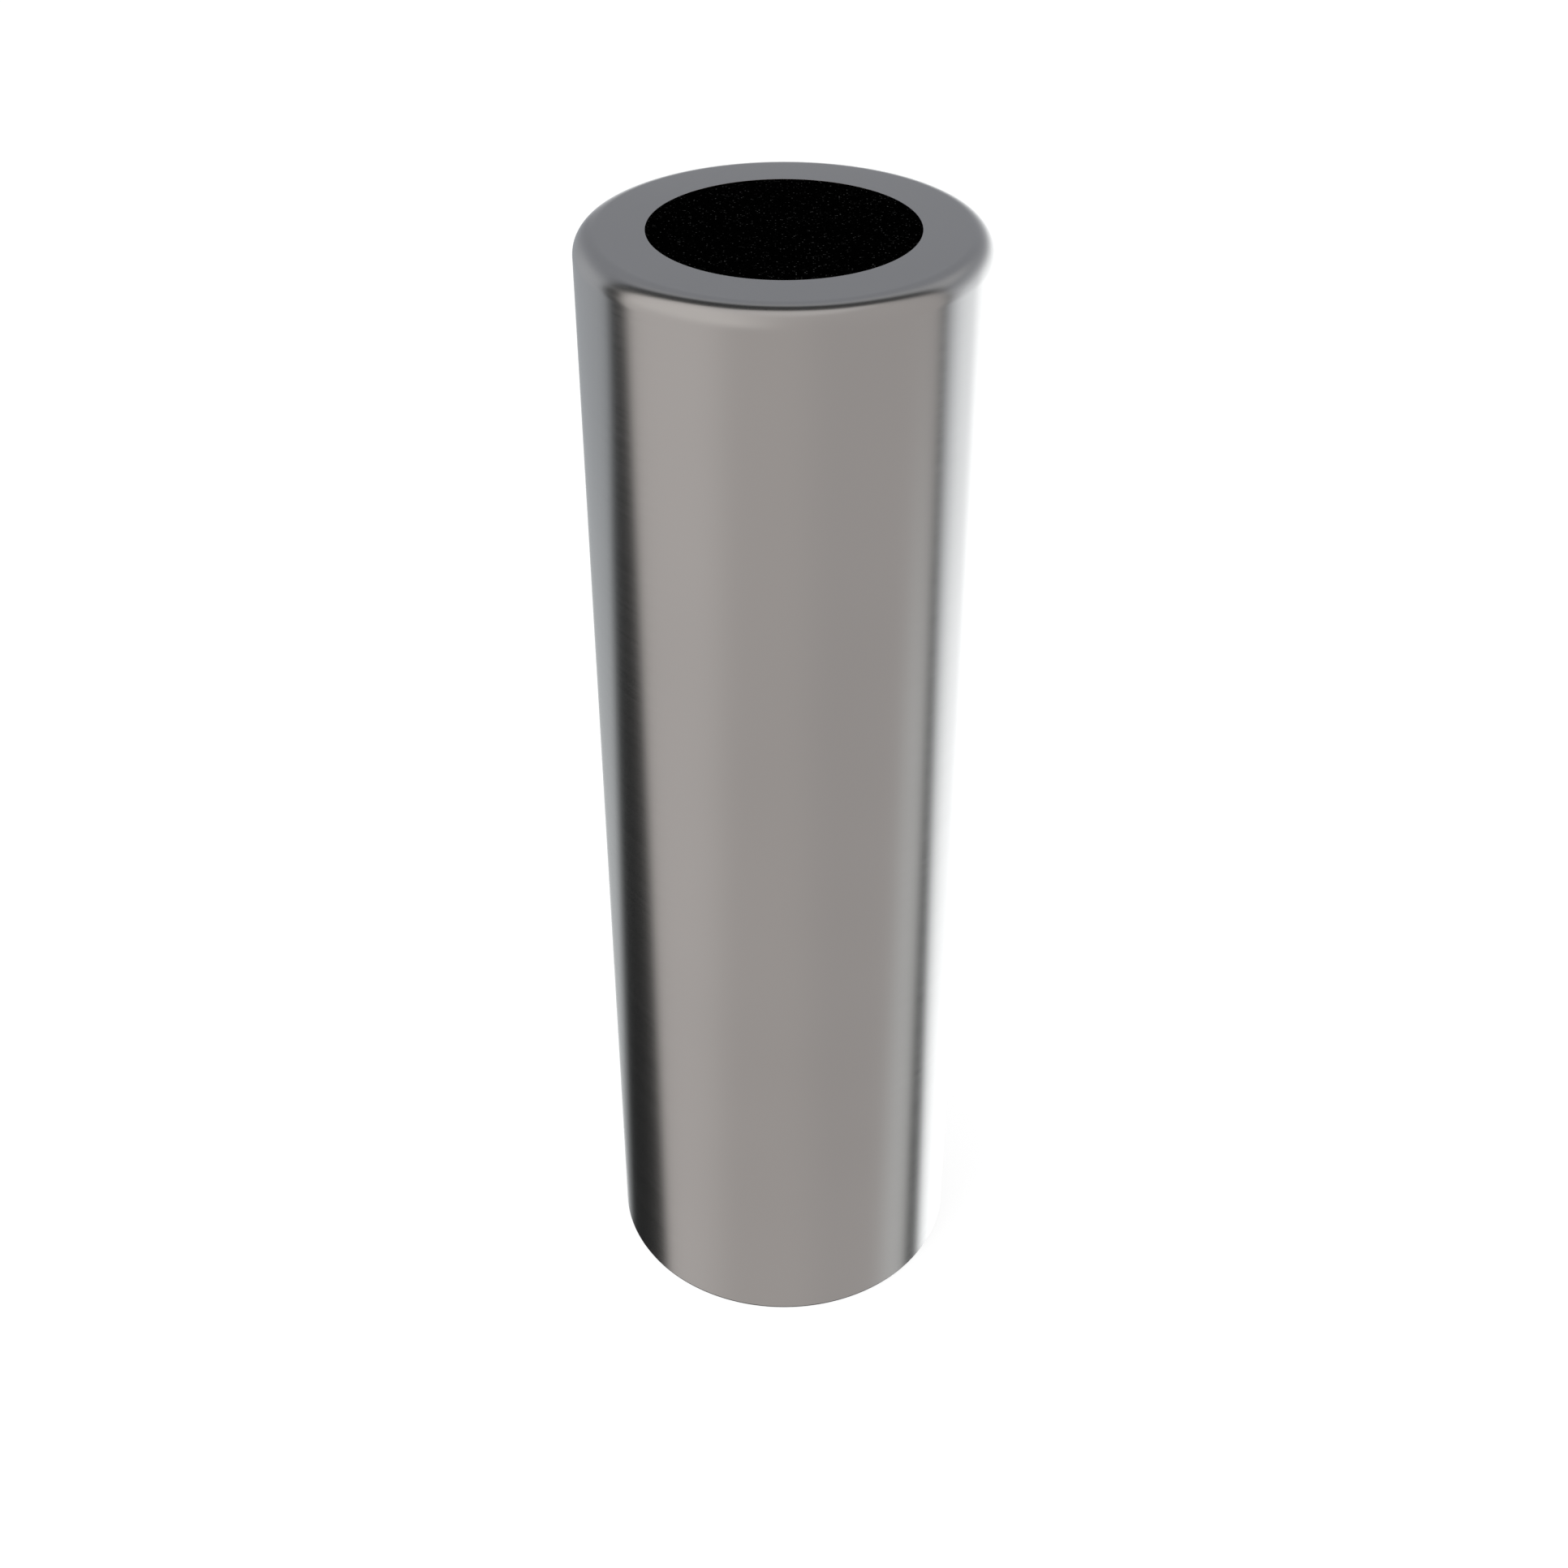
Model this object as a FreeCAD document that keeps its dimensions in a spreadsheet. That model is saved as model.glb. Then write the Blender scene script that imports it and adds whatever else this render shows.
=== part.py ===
import FreeCAD, Part
import Sketcher
import math
import os

# A steel safety bollard that is bolted down on the ground.
#
# An anchored core takes the blow: a base plate with four anchor holes, a steel pipe welded on it and
# filled with concrete, four ribs, and a head plate with a nut welded under it. A stainless sleeve
# with a turned cap slides down over the core and hides it. One bolt through the bottom of the cap's
# dish holds the sleeve, and a round black insert closes the dish flush with the top.
#
# Frame: +Z up, origin on the ground at the middle of the base. Sizes are in millimetres.

doc = FreeCAD.newDocument("safety_bollard")

# ------------------------------------------------------------------------------------------------
# Sizes
# ------------------------------------------------------------------------------------------------

sheet = doc.addObject("Spreadsheet::Sheet", "Sizes")

# Sizes that are chosen: name, value, what it is.
CHOSEN = [
    ("total_height", 700, "ground to the top face"),
    ("sleeve_diameter", 220, "outside of the sleeve and the cap"),
    ("sleeve_wall", 3, "wall of the sleeve"),
    ("sleeve_edge_break", 0.5, "chamfer on the sleeve's lower edge"),
    ("seal_thickness", 1.2, "rubber strip under the sleeve's edge"),
    ("seal_setback", 0.6, "how far the strip stays in from the sleeve's outside"),
    ("edge_radius", 12, "rounding of the cap's top edge"),
    ("cap_depth", 38, "top face to the lowest part of the cap"),
    ("collar_height", 24, "top face to the joint with the sleeve"),
    ("spigot_wall", 8, "wall of the cap's spigot"),
    ("spigot_play", 0.1, "gap between the spigot and the sleeve's bore"),
    ("dish_diameter", 144, "dish for the insert"),
    ("dish_depth", 10, "top face to the floor of the dish"),
    ("dish_web", 6, "thickness under the dish"),
    ("hub_diameter", 68, "hub round the bolt"),
    ("well_diameter", 48, "well for the bolt's head"),
    ("well_depth", 20, "floor of the dish to the floor of the well"),
    ("insert_play", 0.3, "gap round and under the insert"),
    ("insert_plate_thickness", 5, "metal plate of the insert"),
    ("insert_plate_setback", 0.5, "how far the plate stays in from the facing's edge"),
    ("ring_cord", 3, "section of the insert's rubber ring"),
    ("ring_groove_play", 0.2, "room beside the ring in its groove"),
    ("bolt_diameter", 16, "fixing bolt"),
    ("bolt_length", 50, "under the head to the end"),
    ("bolt_head_height", 10, "head of the fixing bolt"),
    ("bolt_flats", 24, "across the flats of head and nut"),
    ("bolt_hole_play", 0.75, "gap between the bolt and its clearance holes"),
    ("thread_play", 0.05, "gap between the bolt and the nut's bore"),
    ("washer_play", 0.25, "gap between the bolt and its washers"),
    ("nut_height", 14.8, "nut under the head plate"),
    ("washer_diameter", 40, "plate washer and sealing washer"),
    ("plate_washer_thickness", 3, "plate washer"),
    ("seal_washer_thickness", 2, "rubber sealing washer"),
    ("spring_washer_diameter", 27.4, "spring washer"),
    ("spring_washer_thickness", 3.5, "spring washer"),
    ("spring_washer_slit", 2, "slit of the spring washer"),
    ("rest_gap", 0.3, "gap between the cap and the pad it rests on"),
    ("pad_thickness", 2.7, "rubber pad on the head plate"),
    ("pad_bore", 40, "hole in the pad"),
    ("pad_diameter", 176, "outside of the pad"),
    ("head_plate_thickness", 12, "plate on top of the post"),
    ("slide_gap", 0.4, "gap between the guide rings and the sleeve's bore"),
    ("head_ring_wall", 8.6, "head plate's rim to the outside of its guide ring"),
    ("head_ring_lip", 2, "thickness of the lips over and under the head plate"),
    ("head_ring_grip", 6, "how far the lips reach in over the head plate"),
    ("base_plate_thickness", 15, "plate on the ground"),
    ("base_ring_wall", 3.6, "base plate's rim to the outside of its guide ring"),
    ("base_ring_lip", 3, "thickness of the lip on the base plate"),
    ("base_ring_grip", 4, "how far the lip reaches in over the base plate"),
    ("base_ring_lift", 1.6, "ground to the underside of the ring"),
    ("anchor_edge", 20.5, "base plate's rim to the middle of an anchor hole"),
    ("anchor_hole", 18, "anchor hole"),
    ("post_diameter", 114.3, "outside of the post"),
    ("post_wall", 6.3, "wall of the post"),
    ("base_weld", 6, "leg of the weld at the post's foot"),
    ("head_weld", 5, "leg of the weld under the head plate"),
    ("rib_thickness", 8, "ribs at the post's foot"),
    ("rib_height", 70, "ribs at the post's foot"),
    ("rib_edge", 7, "base plate's rim to the outer end of a rib"),
    ("rib_toe", 12, "height of a rib at its outer end"),
    ("rib_shoulder", 10, "width of a rib at its top"),
    ("rib_cope", 8, "corner cut off for the weld"),
    ("concrete_space", 60, "free space in the post above the concrete"),
]

# Sizes that follow from those: name, formula.
DERIVED = [
    ("sleeve_radius", "sleeve_diameter / 2"),
    ("bore_radius", "sleeve_radius - sleeve_wall"),
    ("seal_outer_radius", "sleeve_radius - seal_setback"),
    ("cap_foot", "total_height - cap_depth"),
    ("sleeve_length", "total_height - collar_height - seal_thickness"),
    ("collar_foot", "cap_depth - collar_height"),
    ("spigot_radius", "bore_radius - spigot_play"),
    ("spigot_inner_radius", "spigot_radius - spigot_wall"),
    ("dish_radius", "dish_diameter / 2"),
    ("dish_floor", "cap_depth - dish_depth"),
    ("web_underside", "dish_floor - dish_web"),
    ("hub_radius", "hub_diameter / 2"),
    ("well_radius", "well_diameter / 2"),
    ("well_floor", "dish_floor - well_depth"),
    ("bolt_radius", "bolt_diameter / 2"),
    ("bolt_hole_radius", "bolt_radius + bolt_hole_play"),
    ("washer_bore_radius", "bolt_radius + washer_play"),
    ("nut_bore_radius", "bolt_radius + thread_play"),
    ("washer_radius", "washer_diameter / 2"),
    ("spring_washer_radius", "spring_washer_diameter / 2"),
    ("flats_corner_radius", "bolt_flats / 2 / cos(30 deg)"),
    ("flats_top_radius", "bolt_flats / 2 * 0.95"),
    ("flats_slope", "bolt_head_height * tan(60 deg)"),
    ("seal_washer_foot", "cap_foot + well_floor"),
    ("plate_washer_foot", "seal_washer_foot + seal_washer_thickness"),
    ("spring_washer_foot", "plate_washer_foot + plate_washer_thickness"),
    ("bolt_head_foot", "spring_washer_foot + spring_washer_thickness"),
    ("insert_foot", "total_height - dish_depth + insert_play"),
    ("facing_foot", "insert_foot + insert_plate_thickness"),
    ("facing_thickness", "total_height - facing_foot"),
    ("facing_radius", "dish_radius - insert_play"),
    ("insert_plate_radius", "facing_radius - insert_plate_setback"),
    ("ring_radius", "facing_radius - ring_cord / 2"),
    ("ring_section", "ring_cord / 2"),
    ("groove_radius", "facing_radius - ring_cord - ring_groove_play / 2"),
    ("groove_foot", "insert_plate_thickness / 2 - ring_cord / 2 - ring_groove_play"),
    ("groove_top", "insert_plate_thickness / 2 + ring_cord / 2 + ring_groove_play"),
    ("ring_middle", "insert_foot + insert_plate_thickness / 2"),
    ("pad_foot", "cap_foot - rest_gap - pad_thickness"),
    ("pad_radius", "pad_diameter / 2"),
    ("pad_bore_radius", "pad_bore / 2"),
    ("head_plate_foot", "pad_foot - head_plate_thickness"),
    ("nut_foot", "head_plate_foot - nut_height"),
    ("guide_radius", "bore_radius - slide_gap"),
    ("head_plate_radius", "guide_radius - head_ring_wall"),
    ("head_ring_inner_radius", "head_plate_radius - head_ring_grip"),
    ("head_ring_foot", "head_plate_foot - head_ring_lip"),
    ("head_ring_upper_lip", "head_ring_lip + head_plate_thickness"),
    ("head_ring_height", "head_ring_upper_lip + head_ring_lip"),
    ("base_plate_radius", "guide_radius - base_ring_wall"),
    ("base_ring_inner_radius", "base_plate_radius - base_ring_grip"),
    ("base_ring_step", "base_plate_thickness - base_ring_lift"),
    ("base_ring_height", "base_ring_step + base_ring_lip"),
    ("anchor_circle_radius", "base_plate_radius - anchor_edge"),
    ("anchor_hole_radius", "anchor_hole / 2"),
    ("post_radius", "post_diameter / 2"),
    ("post_bore_radius", "post_radius - post_wall"),
    ("post_length", "head_plate_foot - base_plate_thickness"),
    ("base_weld_toe", "post_radius + base_weld"),
    ("head_weld_toe", "post_radius + head_weld"),
    ("head_weld_foot", "head_plate_foot - head_weld"),
    ("rib_foot_radius", "post_radius + rib_cope"),
    ("rib_outer_radius", "base_plate_radius - rib_edge"),
    ("rib_top_radius", "post_radius + rib_shoulder"),
    ("rib_half_thickness", "rib_thickness / 2"),
    ("concrete_height", "post_length - concrete_space"),
]

rows = [(name, str(value), note) for name, value, note in CHOSEN]
rows += [(name, "=" + formula, "") for name, formula in DERIVED]
for row, (name, content, note) in enumerate(rows, start=1):
    sheet.set(f"A{row}", note)
    sheet.set(f"B{row}", content)
    sheet.setAlias(f"B{row}", name)
doc.recompute()

ANCHORS = 4
RIBS = 4


def size(name):
    """The value of one named size, in millimetres."""
    return float(sheet.get(name))


def bind(target, prop, name):
    """Tie a property to a named size."""
    target.setExpression(prop, "Sizes." + name)


# ------------------------------------------------------------------------------------------------
# Ways of making a piece
# ------------------------------------------------------------------------------------------------

pieces = []


def piece(solid, label, foot=None):
    """Name a finished piece and set the height of its foot."""
    solid.Label = label
    if foot:
        bind(solid, "Placement.Base.z", foot)
    pieces.append(solid)
    return solid


def new_body(name):
    return doc.addObject("PartDesign::Body", name + "_body")


def origin_item(body, role):
    return next(item for item in body.Origin.OriginFeatures if item.Role == role)


def new_sketch(body, name, plane):
    sketch = body.newObject("Sketcher::SketchObject", name)
    sketch.AttachmentSupport = (origin_item(body, plane), [""])
    sketch.MapMode = "FlatFace"
    return sketch


def add_circle(sketch, radius, label):
    """A circle on the sketch's origin with its radius tied to a named size."""
    circle = sketch.addGeometry(Part.Circle(FreeCAD.Vector(), FreeCAD.Vector(0, 0, 1), size(radius)))
    sketch.addConstraint(Sketcher.Constraint("Coincident", circle, 3, -1, 1))
    index = sketch.addConstraint(Sketcher.Constraint("Radius", circle, size(radius)))
    sketch.renameConstraint(index, label)
    sketch.setExpression("Constraints." + label, "Sizes." + radius)


def pad(body, sketch, name, length):
    feature = body.newObject("PartDesign::Pad", name)
    feature.Profile = sketch
    bind(feature, "Length", length)
    doc.recompute()
    return feature


def disc(name, outer, thickness, inner=None):
    """A round plate or a tube, padded up from its foot."""
    body = new_body(name)
    sketch = new_sketch(body, name + "_sketch", "XY_Plane")
    add_circle(sketch, outer, "outer")
    if inner:
        add_circle(sketch, inner, "inner")
    pad(body, sketch, name + "_pad", thickness)
    return body


def add_outline(sketch, corners):
    """A closed outline through corners, each a pair of named sizes (or None for zero)."""
    points = [FreeCAD.Vector(size(x) if x else 0, size(y) if y else 0, 0) for x, y in corners]
    count = len(points)
    lines = [sketch.addGeometry(Part.LineSegment(points[i], points[(i + 1) % count])) for i in range(count)]
    for i in range(count):
        sketch.addConstraint(Sketcher.Constraint("Coincident", lines[i - 1], 2, lines[i], 1))
    for i, (x, y) in enumerate(corners):
        for kind, axis, value, name in (("DistanceX", -2, points[i].x, x), ("DistanceY", -1, points[i].y, y)):
            if name is None:
                sketch.addConstraint(Sketcher.Constraint("PointOnObject", lines[i], 1, axis))
                continue
            label = f"{name}_{kind[-1].lower()}{i}"
            index = sketch.addConstraint(Sketcher.Constraint(kind, -1, 1, lines[i], 1, value))
            sketch.renameConstraint(index, label)
            sketch.setExpression("Constraints." + label, "Sizes." + name)


def turned(name, corners):
    """A piece turned round the upright axis: corners are (radius, height above its foot)."""
    body = new_body(name)
    sketch = new_sketch(body, name + "_sketch", "XZ_Plane")
    add_outline(sketch, corners)
    doc.recompute()
    feature = body.newObject("PartDesign::Revolution", name + "_turn")
    feature.Profile = sketch
    feature.ReferenceAxis = (sketch, ["V_Axis"])
    feature.Angle = 360
    doc.recompute()
    return body


def round_edges(shape, radius, height):
    """Names of the circular edges with this radius at this height."""
    names = []
    for number, edge in enumerate(shape.Edges, start=1):
        curve = edge.Curve
        if isinstance(curve, Part.Circle) and abs(curve.Radius - radius) < 1e-4:
            if abs(curve.Center.z - height) < 1e-4:
                names.append(f"Edge{number}")
    return names


def dressed(body, kind, name, edges, prop, value):
    """Add a fillet or a chamfer to edges of the body's last feature."""
    feature = body.newObject("PartDesign::" + kind, name)
    feature.Base = (feature.BaseFeature, edges)
    bind(feature, prop, value)
    body.Tip = feature
    doc.recompute()


def cylinder(name, radius, height):
    solid = doc.addObject("Part::Cylinder", name)
    bind(solid, "Radius", radius)
    bind(solid, "Height", height)
    return solid


def hexagon(name, height):
    solid = doc.addObject("Part::Prism", name)
    solid.Polygon = 6
    bind(solid, "Circumradius", "flats_corner_radius")
    bind(solid, "Height", height)
    return solid


def cut(name, base, tool):
    result = doc.addObject("Part::Cut", name)
    result.Base = base
    result.Tool = tool
    return result


# ------------------------------------------------------------------------------------------------
# The anchored core
# ------------------------------------------------------------------------------------------------

# Base plate: a round steel plate with one anchor hole, repeated round the axis.
base_plate = disc("base_plate", "base_plate_radius", "base_plate_thickness")
hole_sketch = new_sketch(base_plate, "anchor_sketch", "XY_Plane")
hole = hole_sketch.addGeometry(
    Part.Circle(FreeCAD.Vector(size("anchor_circle_radius"), 0, 0), FreeCAD.Vector(0, 0, 1), size("anchor_hole_radius"))
)
hole_sketch.addConstraint(Sketcher.Constraint("PointOnObject", hole, 3, -1))
along = hole_sketch.addConstraint(
    Sketcher.Constraint("DistanceX", -1, 1, hole, 3, size("anchor_circle_radius"))
)
hole_sketch.renameConstraint(along, "circle")
hole_sketch.setExpression("Constraints.circle", "Sizes.anchor_circle_radius")
across = hole_sketch.addConstraint(Sketcher.Constraint("Radius", hole, size("anchor_hole_radius")))
hole_sketch.renameConstraint(across, "bore")
hole_sketch.setExpression("Constraints.bore", "Sizes.anchor_hole_radius")
doc.recompute()
anchor = base_plate.newObject("PartDesign::Pocket", "anchor_hole_cut")
anchor.Profile = hole_sketch
anchor.Type = "ThroughAll"
anchor.Reversed = True
doc.recompute()
pattern = base_plate.newObject("PartDesign::PolarPattern", "anchor_holes")
pattern.Originals = [anchor]
pattern.Axis = (hole_sketch, ["N_Axis"])
pattern.Angle = 360
pattern.Occurrences = ANCHORS
base_plate.Tip = pattern
doc.recompute()
piece(base_plate, "base_plate")

# Post: a steel pipe that stands on the base plate and carries the head plate.
piece(disc("core_post", "post_radius", "post_length", "post_bore_radius"), "core_post", "base_plate_thickness")

# Fillet welds run round the post at its foot and under the head plate.
foot_weld = turned("foot_weld", [("post_radius", None), ("base_weld_toe", None), ("post_radius", "base_weld")])
piece(foot_weld, "foot_weld", "base_plate_thickness")
top_weld = turned("top_weld", [("post_radius", None), ("head_weld_toe", "head_weld"), ("post_radius", "head_weld")])
piece(top_weld, "top_weld", "head_weld_foot")

# Ribs stiffen the foot of the post, half way between the anchor holes.
RIB_OUTLINE = [
    ("rib_foot_radius", None),
    ("rib_outer_radius", None),
    ("rib_outer_radius", "rib_toe"),
    ("rib_top_radius", "rib_height"),
    ("post_radius", "rib_height"),
    ("post_radius", "rib_cope"),
]
for number in range(RIBS):
    name = f"rib_{number + 1}"
    rib = new_body(name)
    rib_sketch = new_sketch(rib, name + "_sketch", "XZ_Plane")
    add_outline(rib_sketch, RIB_OUTLINE)
    doc.recompute()
    pad(rib, rib_sketch, name + "_pad", "rib_thickness").SideType = "Symmetric"
    turn = 360 / ANCHORS / 2 + 360 / RIBS * number
    rib.Placement.Rotation = FreeCAD.Rotation(FreeCAD.Vector(0, 0, 1), turn)
    piece(rib, name, "base_plate_thickness")

# Concrete fills the post and stops short of the nut.
piece(cylinder("concrete", "post_bore_radius", "concrete_height"), "concrete_fill", "base_plate_thickness")

# Head plate: carries the cap and takes the fixing bolt.
head_plate = disc("head_plate", "head_plate_radius", "head_plate_thickness", "bolt_hole_radius")
piece(head_plate, "head_plate", "head_plate_foot")

# Weld nut under the head plate.
nut_blank = hexagon("nut_blank", "nut_height")
nut_bore = cylinder("nut_bore", "nut_bore_radius", "nut_height")
piece(cut("weld_nut_cut", nut_blank, nut_bore), "weld_nut", "nut_foot")

# Rubber pad between the head plate and the cap.
piece(disc("head_pad", "pad_radius", "pad_thickness", "pad_bore_radius"), "head_pad", "pad_foot")

# Guide rings keep the sleeve central. The upper one grips the head plate's rim with two lips, and
# the lower one hangs on the base plate by one lip.
HEAD_RING_OUTLINE = [
    ("head_ring_inner_radius", None),
    ("guide_radius", None),
    ("guide_radius", "head_ring_height"),
    ("head_ring_inner_radius", "head_ring_height"),
    ("head_ring_inner_radius", "head_ring_upper_lip"),
    ("head_plate_radius", "head_ring_upper_lip"),
    ("head_plate_radius", "head_ring_lip"),
    ("head_ring_inner_radius", "head_ring_lip"),
]
piece(turned("upper_guide", HEAD_RING_OUTLINE), "upper_guide_ring", "head_ring_foot")
BASE_RING_OUTLINE = [
    ("base_plate_radius", None),
    ("guide_radius", None),
    ("guide_radius", "base_ring_height"),
    ("base_ring_inner_radius", "base_ring_height"),
    ("base_ring_inner_radius", "base_ring_step"),
    ("base_plate_radius", "base_ring_step"),
]
piece(turned("lower_guide", BASE_RING_OUTLINE), "lower_guide_ring", "base_ring_lift")

# ------------------------------------------------------------------------------------------------
# The sleeve, which lifts off
# ------------------------------------------------------------------------------------------------

# Outer sleeve: a stainless tube with its lower outside edge broken.
sleeve = disc("outer_sleeve", "sleeve_radius", "sleeve_length", "bore_radius")
lower_edge = round_edges(sleeve.Tip.Shape, size("sleeve_radius"), 0)
dressed(sleeve, "Chamfer", "sleeve_edge", lower_edge, "Size", "sleeve_edge_break")
piece(sleeve, "outer_sleeve", "seal_thickness")

# Rubber strip under the sleeve's lower edge.
piece(disc("base_seal", "seal_outer_radius", "seal_thickness", "bore_radius"), "base_seal")

# Cap: turned from one blank. Its collar lies flush with the sleeve, its spigot goes down inside the
# sleeve, and its dish holds the insert, with a well for the bolt's head in the middle.
CAP_OUTLINE = [
    ("bolt_hole_radius", None),
    ("hub_radius", None),
    ("hub_radius", "web_underside"),
    ("spigot_inner_radius", "web_underside"),
    ("spigot_inner_radius", None),
    ("spigot_radius", None),
    ("spigot_radius", "collar_foot"),
    ("sleeve_radius", "collar_foot"),
    ("sleeve_radius", "cap_depth"),
    ("dish_radius", "cap_depth"),
    ("dish_radius", "dish_floor"),
    ("well_radius", "dish_floor"),
    ("well_radius", "well_floor"),
    ("bolt_hole_radius", "well_floor"),
]
cap = turned("top_cap", CAP_OUTLINE)
top_edge = round_edges(cap.Tip.Shape, size("sleeve_radius"), size("cap_depth"))
dressed(cap, "Fillet", "cap_edge", top_edge, "Radius", "edge_radius")
piece(cap, "top_cap", "cap_foot")

# Fixing bolt with its washers, from the floor of the well upwards.
seal_washer = disc("seal_washer", "washer_radius", "seal_washer_thickness", "washer_bore_radius")
piece(seal_washer, "sealing_washer", "seal_washer_foot")
plate_washer = disc("plate_washer", "washer_radius", "plate_washer_thickness", "washer_bore_radius")
piece(plate_washer, "plate_washer", "plate_washer_foot")

spring_blank = cylinder("spring_washer_blank", "spring_washer_radius", "spring_washer_thickness")
spring_bore = cylinder("spring_washer_bore", "washer_bore_radius", "spring_washer_thickness")
spring_slit = doc.addObject("Part::Box", "spring_washer_slit_cut")
bind(spring_slit, "Length", "spring_washer_radius")
bind(spring_slit, "Width", "spring_washer_slit")
bind(spring_slit, "Height", "spring_washer_thickness")
spring_slit.setExpression("Placement.Base.y", "-Sizes.spring_washer_slit / 2")
spring_ring = cut("spring_washer_ring", spring_blank, spring_bore)
piece(cut("spring_washer_cut", spring_ring, spring_slit), "spring_washer", "spring_washer_foot")

head_blank = hexagon("bolt_head_blank", "bolt_head_height")
head_cone = doc.addObject("Part::Cone", "bolt_head_cone")
head_cone.setExpression("Radius1", "Sizes.flats_top_radius + Sizes.flats_slope")
bind(head_cone, "Radius2", "flats_top_radius")
bind(head_cone, "Height", "bolt_head_height")
head = doc.addObject("Part::Common", "bolt_head")
head.Base = head_blank
head.Tool = head_cone
shank = cylinder("bolt_shank", "bolt_radius", "bolt_length")
shank.setExpression("Placement.Base.z", "-Sizes.bolt_length")
bolt = doc.addObject("Part::Fuse", "fixing_bolt_fuse")
bolt.Base = head
bolt.Tool = shank
piece(bolt, "fixing_bolt", "bolt_head_foot")

# ------------------------------------------------------------------------------------------------
# The insert, which lifts out of the dish
# ------------------------------------------------------------------------------------------------

# Metal plate with a groove round its edge for the rubber ring.
INSERT_PLATE_OUTLINE = [
    (None, None),
    ("insert_plate_radius", None),
    ("insert_plate_radius", "groove_foot"),
    ("groove_radius", "groove_foot"),
    ("groove_radius", "groove_top"),
    ("insert_plate_radius", "groove_top"),
    ("insert_plate_radius", "insert_plate_thickness"),
    (None, "insert_plate_thickness"),
]
piece(turned("insert_plate", INSERT_PLATE_OUTLINE), "insert_plate", "insert_foot")

# Rubber ring that holds the insert in the dish.
insert_ring = doc.addObject("Part::Torus", "insert_ring_torus")
bind(insert_ring, "Radius1", "ring_radius")
bind(insert_ring, "Radius2", "ring_section")
piece(insert_ring, "insert_ring", "ring_middle")

# Black grit facing, flush with the top of the cap.
piece(cylinder("facing", "facing_radius", "facing_thickness"), "insert_facing", "facing_foot")

# ------------------------------------------------------------------------------------------------
# Check and write
# ------------------------------------------------------------------------------------------------

doc.recompute()

for item in doc.Objects:
    if "Invalid" in item.State or "Error" in item.State:
        raise RuntimeError(f"{item.Name} failed: {item.State}")
for solid in pieces:
    if solid.Shape.isNull() or not solid.Shape.isValid() or len(solid.Shape.Solids) != 1:
        raise RuntimeError(f"{solid.Label} isn't one valid solid")

full_area = math.pi * size("base_plate_radius") ** 2
holes_area = ANCHORS * math.pi * size("anchor_hole_radius") ** 2
if abs(base_plate.Shape.Volume - (full_area - holes_area) * size("base_plate_thickness")) > 1:
    raise RuntimeError("the anchor holes aren't cut")

os.makedirs("parts", exist_ok=True)
for solid in pieces:
    solid.Shape.exportStep(f"parts/{solid.Label}.step")
    box = solid.Shape.BoundBox
    print(f"{solid.Label:18s} z {box.ZMin:7.2f} to {box.ZMax:7.2f}  volume {solid.Shape.Volume / 1000:9.1f} cm3")
print(len(pieces), "pieces")
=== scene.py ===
# %% [markdown]
# # A steel safety bollard
#
# A safety bollard is a short, very stiff post that stops a car. This one is bolted down on its
# foundation. What is seen is a polished stainless sleeve with a turned cap and a round black grit
# insert in the top. Under the sleeve stands the part that takes the blow: a pipe filled with
# concrete on a thick base plate, with ribs at its foot and a plate on its head.
#
# The CAD model gives every size and every place. This lesson makes the look: turned pieces with
# real rounded edges, weld beads, a bolt with its thread, grit, and a finish for each material.

import math

import bmesh
import bpy
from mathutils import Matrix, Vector


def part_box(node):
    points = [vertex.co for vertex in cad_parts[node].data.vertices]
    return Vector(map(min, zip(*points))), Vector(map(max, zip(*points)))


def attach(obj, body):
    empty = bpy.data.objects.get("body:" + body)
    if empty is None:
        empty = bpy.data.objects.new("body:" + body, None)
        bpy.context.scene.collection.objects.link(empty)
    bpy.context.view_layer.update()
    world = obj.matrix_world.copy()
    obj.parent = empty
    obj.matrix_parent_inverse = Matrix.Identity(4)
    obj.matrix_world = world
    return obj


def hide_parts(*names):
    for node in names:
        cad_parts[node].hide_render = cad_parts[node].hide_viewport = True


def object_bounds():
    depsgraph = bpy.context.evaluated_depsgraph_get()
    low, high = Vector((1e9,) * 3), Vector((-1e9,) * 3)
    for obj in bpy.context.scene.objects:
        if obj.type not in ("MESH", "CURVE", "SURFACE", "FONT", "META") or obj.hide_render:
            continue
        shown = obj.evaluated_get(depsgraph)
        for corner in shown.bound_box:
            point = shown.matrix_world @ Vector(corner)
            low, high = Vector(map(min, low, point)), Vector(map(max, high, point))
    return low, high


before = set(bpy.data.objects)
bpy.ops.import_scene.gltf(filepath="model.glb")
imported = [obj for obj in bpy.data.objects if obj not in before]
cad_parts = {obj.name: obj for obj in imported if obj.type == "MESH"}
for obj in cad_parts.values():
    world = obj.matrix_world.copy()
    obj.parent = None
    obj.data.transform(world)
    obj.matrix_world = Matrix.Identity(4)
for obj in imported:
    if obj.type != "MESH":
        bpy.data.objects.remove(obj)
cad_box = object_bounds()
MM = 0.001

# %% [markdown]
# Nearly every piece of this bollard is round, so four numbers place it: bore, outside radius, foot
# and top. They could be typed in again, but a size that is written twice soon disagrees with
# itself. So they are measured on the CAD node that the piece will stand for.

# %% Measure a round CAD node
def round_size(node):
    """Bore radius, outside radius, foot and top of a round CAD node."""
    radii = [math.hypot(v.co.x, v.co.y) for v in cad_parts[node].data.vertices]
    low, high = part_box(node)
    return min(radii), max(radii), low.z, high.z


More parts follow.
